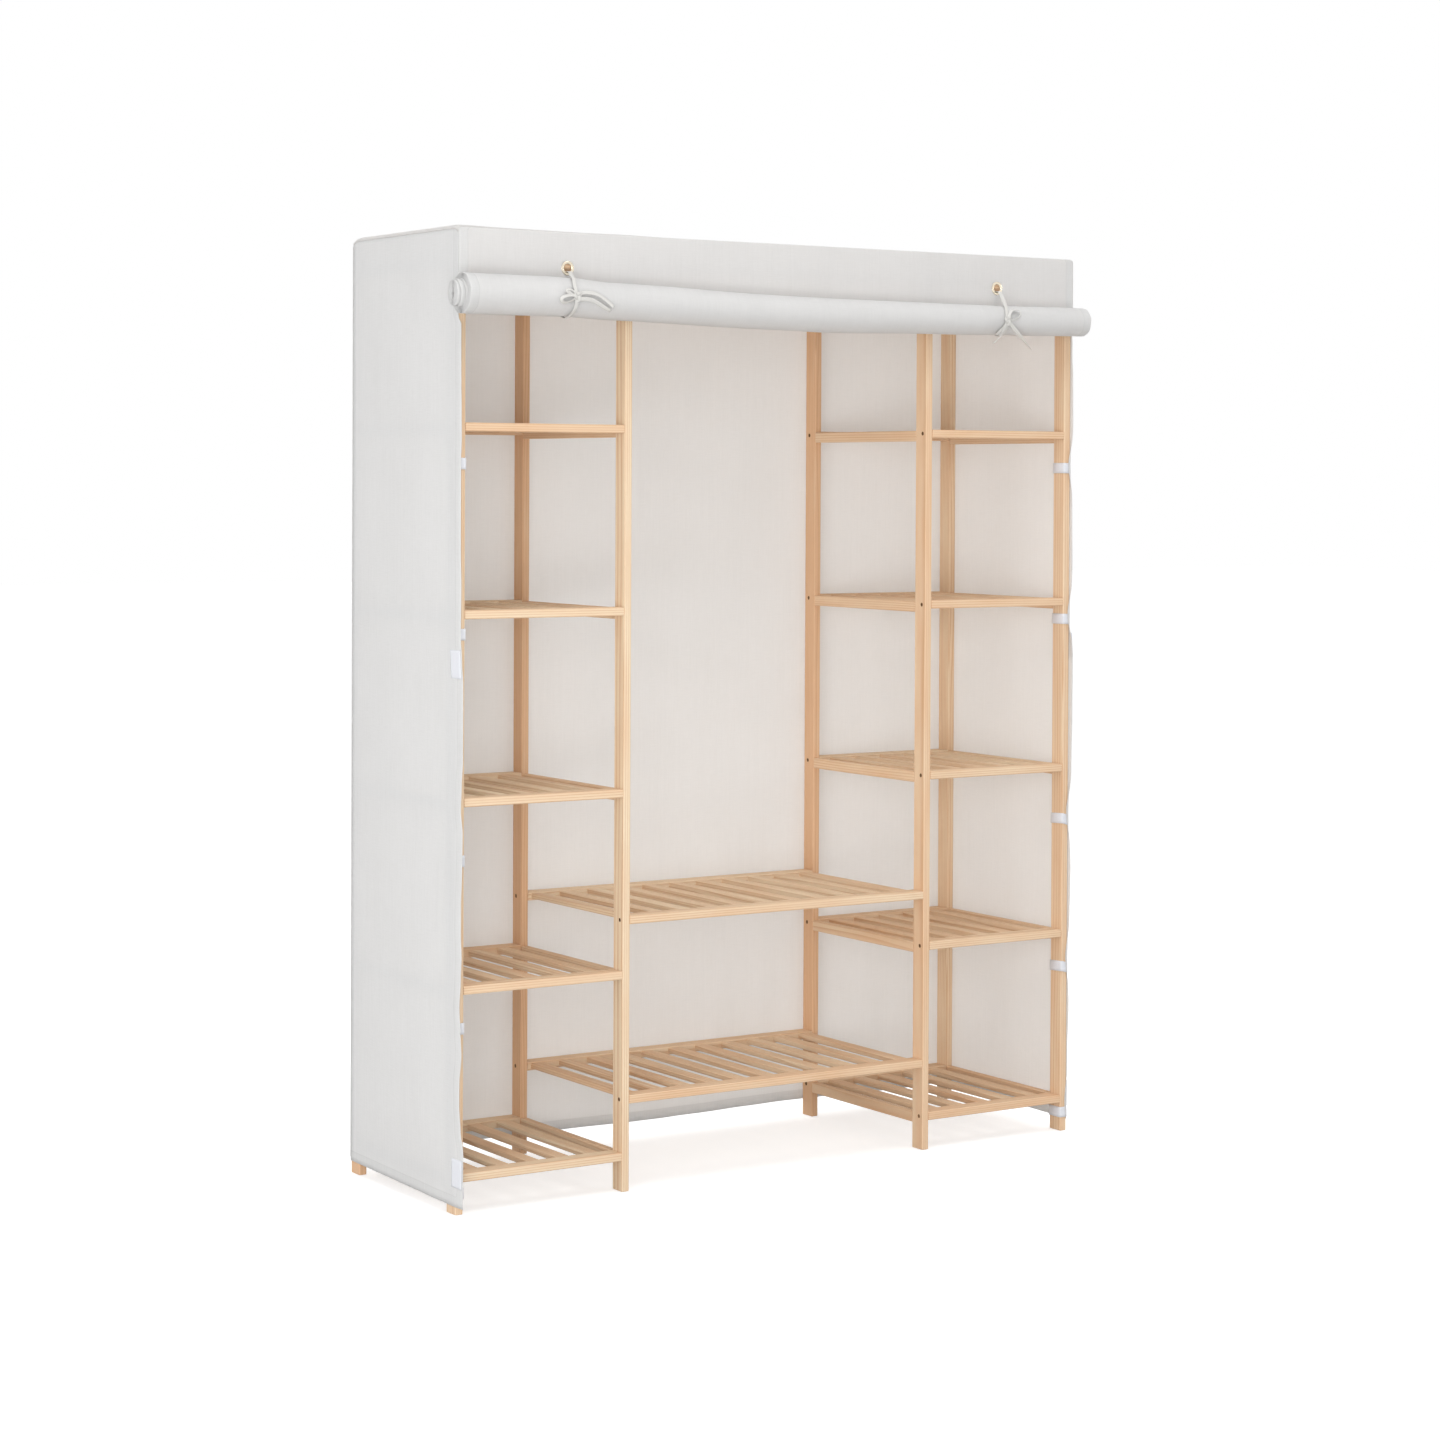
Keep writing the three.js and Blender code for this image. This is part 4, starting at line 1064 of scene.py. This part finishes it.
def planed_pine(name, grain, slats=False):
    """grain is the axis along the batten: 0 for X, 1 for Y, 2 for Z. slats is for a panel: rails along X,
    slats along Y."""
    material, tree = new_material(name)
    place = add(tree, "TexCoord").outputs["Object"]
    own = add(tree, "ObjectInfo").outputs["Random"]
    redness = add(tree, "Attribute", attribute_type="OBJECT", attribute_name="redness").outputs["Fac"]
    x, y, z = add(tree, "SeparateXYZ", {"Vector": place}).outputs
    if slats:
        seed, along, wide = batten_of_panel(tree, own, x, y)
        thick = z
    else:
        seed = add(tree, "Math", {0: own, 1: SEED_SPREAD}, operation="MULTIPLY")
        along, wide, thick = ((x, y, z), (y, x, z), (z, y, x))[grain]
    chance = add(tree, "TexWhiteNoise", {"W": seed}, noise_dimensions="1D").outputs["Color"]
    heart, lean, tint = add(tree, "SeparateColor", {"Color": chance}).outputs
    shift = add(tree, "Math", {0: heart, 1: HEART_SPREAD, 2: HEART_NEAREST}, operation="MULTIPLY_ADD")
    lean = add(tree, "Math", {0: lean, 1: 2 * HEART_LEAN, 2: -HEART_LEAN}, operation="MULTIPLY_ADD")
    far_out = add(tree, "Math", {0: thick, 1: lean}, operation="SUBTRACT")
    step = add(tree, "Math", {0: seed, 1: 1.37}, operation="MULTIPLY")
    slow = add(tree, "Math", {0: along, 1: ALONG_GRAIN, 2: step}, operation="MULTIPLY_ADD")
    section = add(tree, "CombineXYZ", {"X": wide, "Y": thick, "Z": slow})
    bend, fibre, patch, sap = (add(tree, "TexNoise", {"Vector": section, "Scale": scale, "Detail": detail})
                               for scale, detail in ((14.0, 1.0), (900.0, 2.0), (30.0, 2.0), (55.0, 1.0)))
    bent = add(tree, "Math", {0: bend, 1: GRAIN_BEND, 2: wide}, operation="MULTIPLY_ADD")
    drift = add(tree, "Math", {0: bent, 1: shift}, operation="ADD")
    from_heart = add(tree, "CombineXYZ", {"X": drift, "Y": far_out})
    radius = add(tree, "VectorMath", {0: from_heart}, operation="LENGTH").outputs["Value"]
    rings = add(tree, "Math", {0: radius, 1: 1 / RING}, operation="MULTIPLY")
    year = add(tree, "Math", {0: rings}, operation="FRACT")
    band = add(tree, "ValToRGB", {"Fac": year})
    stops = band.color_ramp.elements
    for at, value in RING_TONES:
        stop = stops[0] if at == 0 else stops[-1] if at == 1 else stops.new(at)
        stop.color = (value, value, value, 1)
    late = add(tree, "Math", {0: band, 1: patch}, operation="MULTIPLY")
    late = add(tree, "Math", {0: late, 1: 1.4}, operation="MULTIPLY")
    grainy = add(tree, "Math", {0: fibre, 1: 0.3, 2: late}, operation="MULTIPLY_ADD", use_clamp=True)
    warm = add(tree, "Math", {0: tint, 1: 0.3, 2: redness}, operation="MULTIPLY_ADD")
    warm = add(tree, "Math", {0: sap, 1: 0.9, 2: warm}, operation="MULTIPLY_ADD")
    warm = add(tree, "MapRange", {"Value": warm, "From Min": 0.45, "From Max": 1.45})
    tinted = add(tree, "Mix", {"Factor": warm, "A": linear("#EFDFC3"), "B": linear("#E2BB97")},
                 data_type="RGBA")
    deep = add(tree, "Math", {0: grainy, 1: 0.75}, operation="MULTIPLY")
    tinted = add(tree, "Mix", {"Factor": deep, "A": tinted.outputs["Result"], "B": linear("#CB9D75")},
                 data_type="RGBA")
    rough = add(tree, "MapRange", {"Value": grainy, "To Min": 0.72, "To Max": 0.6})
    bump = add(tree, "Bump", {"Height": grainy, "Strength": 0.25, "Distance": 0.15 * MM})
    shader = add(tree, "BsdfPrincipled", {
        "Base Color": tinted.outputs["Result"], "Roughness": rough, "Specular IOR Level": 0.28,
        "Normal": bump})
    add(tree, "OutputMaterial", {"Surface": shader})
    return material


pine_upright = planed_pine("planed_pine_upright", 2)
pine_rung = planed_pine("planed_pine_rung", 1)
pine_rod = planed_pine("turned_pine_rod", 0)
pine_panel = planed_pine("planed_pine_panel", 0, slats=True)
print("pine rings", RING / MM, "mm apart")

# %% [markdown]
# The CAD battens have sharp edges where a planer leaves a small round. Weld joins the split corners of the
# imported mesh, and a narrow bevel then rounds them, without touching the CAD points themselves.

# %% Pine on the rack
PLANED_EDGE = 0.8 * MM
USUAL_REDNESS = 0.4


def soften(part):
    weld = part.modifiers.new("weld", "WELD")
    weld.merge_threshold = 0.02 * MM
    bevel = part.modifiers.new("planed_edge", "BEVEL")
    bevel.width = PLANED_EDGE
    bevel.segments = 2
    bevel.limit_method = "ANGLE"
    bevel.angle_limit = math.radians(50)
    bevel.harden_normals = False


REDNESS = {
    "left_inner_post_front": 0.0, "right_inner_post_front": 0.55, "right_end_post_front": 0.25,
    "left_end_post_back": 0.9, "left_inner_post_back": 0.9, "right_inner_post_back": 0.8,
    "left_shelf_1": 0.25, "left_shelf_3": 0.1, "left_shelf_4": 0.15, "left_shelf_5": 0.5,
    "middle_shelf_1": 0.35, "middle_shelf_2": 0.2, "right_shelf_3": 0.2, "right_shelf_5": 0.55,
}
woods = {"post": pine_upright, "rung": pine_rung, "shelf": pine_panel, "panel": pine_panel}
dressed = 0
for name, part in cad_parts.items():
    kind = next((k for k in woods if k in name.split("_")), None)
    if kind is None:
        continue
    part.data.materials.clear()
    part.data.materials.append(woods[kind])
    part["redness"] = REDNESS.get(name, USUAL_REDNESS)
    soften(part)
    dressed += 1
print("pine pieces:", dressed)

# %% [markdown]
# The clothes hang on a turned rod. The CAD rod has flat sides, which the light would show, so a rounder one
# with a small chamfer at each end takes its place.

# %% Hanging rod
ROD_CHAMFER = 1 * MM


def turned_rod(name, low, high):
    """A round bar along X that fills the box between two corners."""
    middle = (low + high) / 2
    radius = (high.z - low.z) / 2
    stations = [(low.x, radius - ROD_CHAMFER), (low.x + ROD_CHAMFER, radius),
                (high.x - ROD_CHAMFER, radius), (high.x, radius - ROD_CHAMFER)]
    rings = [[Vector((x, middle.y + r * math.cos(a), middle.z + r * math.sin(a))) for a in circle(64)]
             for x, r in stations]
    return skin(name, rings)


rod = turned_rod("turned_hanging_rod", *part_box("hanging_rod"))
rod.data.materials.append(pine_rod)
rod["redness"] = USUAL_REDNESS
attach(rod, "frame")
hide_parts("hanging_rod")
print("rod:", round(rod.dimensions.x / MM), "mm long")

# %% [markdown]
# Each rail end is held by one countersunk steel screw, driven through the post. The CAD posts have the
# countersunk holes. A head with a cross recess sits in each, turned by a different angle every time, and all
# the heads are one mesh. Their yellow zinc plating is a satin metal, and its colour is darkened to brown with
# painted shade for the shade of the countersunk hole. The fine spangle of the plating is noise between two
# browns.

# %% Screw heads
# Radius and depth in mm, from under the head to the flat face round its recess
SCREW_HEAD = [(1.9, -1.6), (3.9, 0.0), (3.7, 0.12), (2.9, 0.28), (2.3, 0.3)]
CROSS_ARM, CROSS_CORNER, CROSS_DEPTH = 2.1, 0.75, 1.0


def screw_head(mesh, centre, side, turn):
    """Adds a countersunk head with a cross recess to the mesh. side is -1 for a head that faces -X."""
    axis = Vector((side, 0, 0)) * MM
    one = Vector((0, math.cos(turn), math.sin(turn))) * MM
    two = Vector((0, -math.sin(turn), math.cos(turn))) * MM
    angles = circle(32)
    cross = [CROSS_ARM if min(abs(math.cos(a)), abs(math.sin(a))) < 0.3 else CROSS_CORNER for a in angles]
    section = [([radius] * len(angles), depth) for radius, depth in SCREW_HEAD] + [(cross, SCREW_HEAD[-1][1])]
    rings = [[mesh.verts.new(centre + (one * math.cos(a) + two * math.sin(a)) * radius + axis * depth)
              for a, radius in zip(angles, radii)] for radii, depth in section]
    floor = [mesh.verts.new(v.co - axis * CROSS_DEPTH + (centre - v.co) * 0.3) for v in rings[-1]]
    bridge(mesh, rings + [floor])
    mesh.faces.new(floor)


def yellow_zinc_steel_and_painted_shade(name):
    material, tree = new_material(name)
    place = add(tree, "TexCoord").outputs["Object"]
    spangle = add(tree, "TexNoise", {"Vector": place, "Scale": 900.0, "Detail": 2.0})
    # Both browns are the yellow zinc with the painted shade of the countersunk hole darkened into it.
    mix = add(tree, "Mix", {"Factor": spangle, "A": linear("#8A6A48"), "B": linear("#5E452E")},
              data_type="RGBA")
    shader = add(tree, "BsdfPrincipled", {
        "Base Color": mix.outputs["Result"], "Metallic": 1.0, "Roughness": 0.38})
    add(tree, "OutputMaterial", {"Surface": shader})
    return material


print("screw heads:", 2 * SCREW_HEAD[1][0], "mm across")

# %% Places of the screws
bpy.context.view_layer.update()
END_LEVELS = [55 + 323.5 * i for i in range(5)] + [1636]
MIDDLE_LEVELS = [156, 476]
SCREWED_FACES = {
    "left_end": [(-1, END_LEVELS)], "left_inner": [(1, END_LEVELS), (-1, MIDDLE_LEVELS)],
    "right_inner": [(-1, END_LEVELS), (1, MIDDLE_LEVELS)], "right_end": [(1, END_LEVELS)],
}
SCREW_INSET = 12 * MM
RAIL_HALF = 7.5 * MM
HEAD_DEPTH = 0.9 * MM


def screw_places():
    """Each screw's centre and the way it faces. Those of the end shelves and top panels show on the outer
    faces of the end posts and in the hanging bay, and those of the middle shelves show in the end bays."""
    places = []
    for post, faces in SCREWED_FACES.items():
        for row in ("front", "back"):
            low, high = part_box(f"{post}_post_{row}")
            y = low.y + SCREW_INSET if row == "front" else high.y - SCREW_INSET
            for face, levels in faces:
                x = low.x if face < 0 else high.x
                places += [(Vector((x, y, level * MM + RAIL_HALF)), face) for level in levels]
    return places


screws = bmesh.new()
places = screw_places()
for number, (place, face) in enumerate(places):
    screw_head(screws, place - Vector((face, 0, 0)) * HEAD_DEPTH, face, number * 1.1)
bmesh.ops.recalc_face_normals(screws, faces=screws.faces)
screw_heads = finished("screw_heads", screws, smooth=False)
screw_heads.data.materials.append(yellow_zinc_steel_and_painted_shade("yellow_zinc_steel_painted_shade"))
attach(screw_heads, "frame")
print("screws:", len(places))

# %% [markdown]
# The studio is white all round. The floor is a plain pale sheet that keeps the soft shadow of the cover and
# the feet; a little light of its own, seen by the camera and in reflections only, lifts it to white. The
# world does the same for the background, and it lights the object evenly from every side.

# %% Floor
FLOOR_HALF = 30
FLOOR_DROP = 0.5 * MM


def seen_directly(tree):
    """1 for a ray from the camera, a reflection or a see-through surface, and 0 for light on the object."""
    path = add(tree, "LightPath")
    seen = path.outputs["Is Camera Ray"]
    for ray in ("Is Glossy Ray", "Is Transmission Ray"):
        seen = add(tree, "Math", {0: seen, 1: path.outputs[ray]}, operation="MAXIMUM")
    return seen


def white_floor():
    material, tree = new_material("matt_white_floor")
    glow = add(tree, "Math", {0: seen_directly(tree), 1: 0.62}, operation="MULTIPLY")
    diffuse = add(tree, "BsdfDiffuse", {"Color": (0.59, 0.59, 0.59, 1)})
    light = add(tree, "Emission", {"Color": (1, 1, 1, 1), "Strength": glow})
    both = add(tree, "AddShader", {0: diffuse, 1: light})
    add(tree, "OutputMaterial", {"Surface": both})
    return material


mesh = bmesh.new()
mesh.faces.new([mesh.verts.new((x * FLOOR_HALF, y * FLOOR_HALF, -FLOOR_DROP))
                for x, y in ((-1, -1), (1, -1), (1, 1), (-1, 1))])
floor = finished("floor", mesh, smooth=False)
floor.data.materials.append(white_floor())
floor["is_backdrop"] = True
print("floor:", 2 * FLOOR_HALF, "m wide")

# %% World
WORLD_ON_OBJECT = 0.72
world = bpy.context.scene.world or bpy.data.worlds.new("studio")
bpy.context.scene.world = world
world.use_nodes = True
tree = world.node_tree
tree.nodes.clear()
strength = add(tree, "MapRange", {"Value": seen_directly(tree), "To Min": WORLD_ON_OBJECT, "To Max": 1.0})
sky = add(tree, "Background", {"Color": (1, 1, 1, 1), "Strength": strength})
add(tree, "OutputWorld", {"Surface": sky})
print("world light", WORLD_ON_OBJECT, "on the object, 1.0 behind it")

# %% [markdown]
# Big soft boxes stand in front, on both sides and behind, as in a product studio. One hangs over the front,
# and a low one fills the shade under the roll. They give the roll its gentle shading and the shelves their
# soft shadows on the back cloth.

# %% Lamps
def soft_box(name, place, aim, size, power):
    lamp = bpy.data.objects.new(name, bpy.data.lights.new(name, "AREA"))
    lamp.data.shape = "RECTANGLE"
    lamp.data.size, lamp.data.size_y = size
    lamp.data.energy = power
    lamp.location = place
    lamp.rotation_euler = (Vector(aim) - Vector(place)).to_track_quat("-Z", "Y").to_euler()
    bpy.context.scene.collection.objects.link(lamp)


soft_box("front_box", (-3.6, -3.6, 1.1), (0, 0, 0.95), (3.4, 2.2), 88)
soft_box("low_box", (-2.5, -3.0, 0.45), (0, 0, 1.2), (2.8, 0.7), 20)
soft_box("top_box", (0, -1.5, 4.0), (0, -0.1, 1.65), (2.6, 1.4), 32)
soft_box("left_box", (-4.4, -0.6, 2.6), (0, 0, 1.4), (2.2, 1.8), 11)
soft_box("right_box", (4.2, 0.2, 1.9), (0, 0, 1.2), (2.4, 2.2), 76)
soft_box("back_box", (0.2, 4.4, 2.8), (0, 0, 1.5), (3.4, 1.8), 98)
bpy.context.scene.view_settings.view_transform = "Standard"

# %% [markdown]
# Last, the size of the dressed model is printed; its cloth stands a little proud of the CAD solids. Cloth
# may stand proud of the solids by a little and no more.

# %% Sizes and finish
low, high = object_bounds()
print("visual box, metres:", [round(v, 4) for v in (*low, *high)])
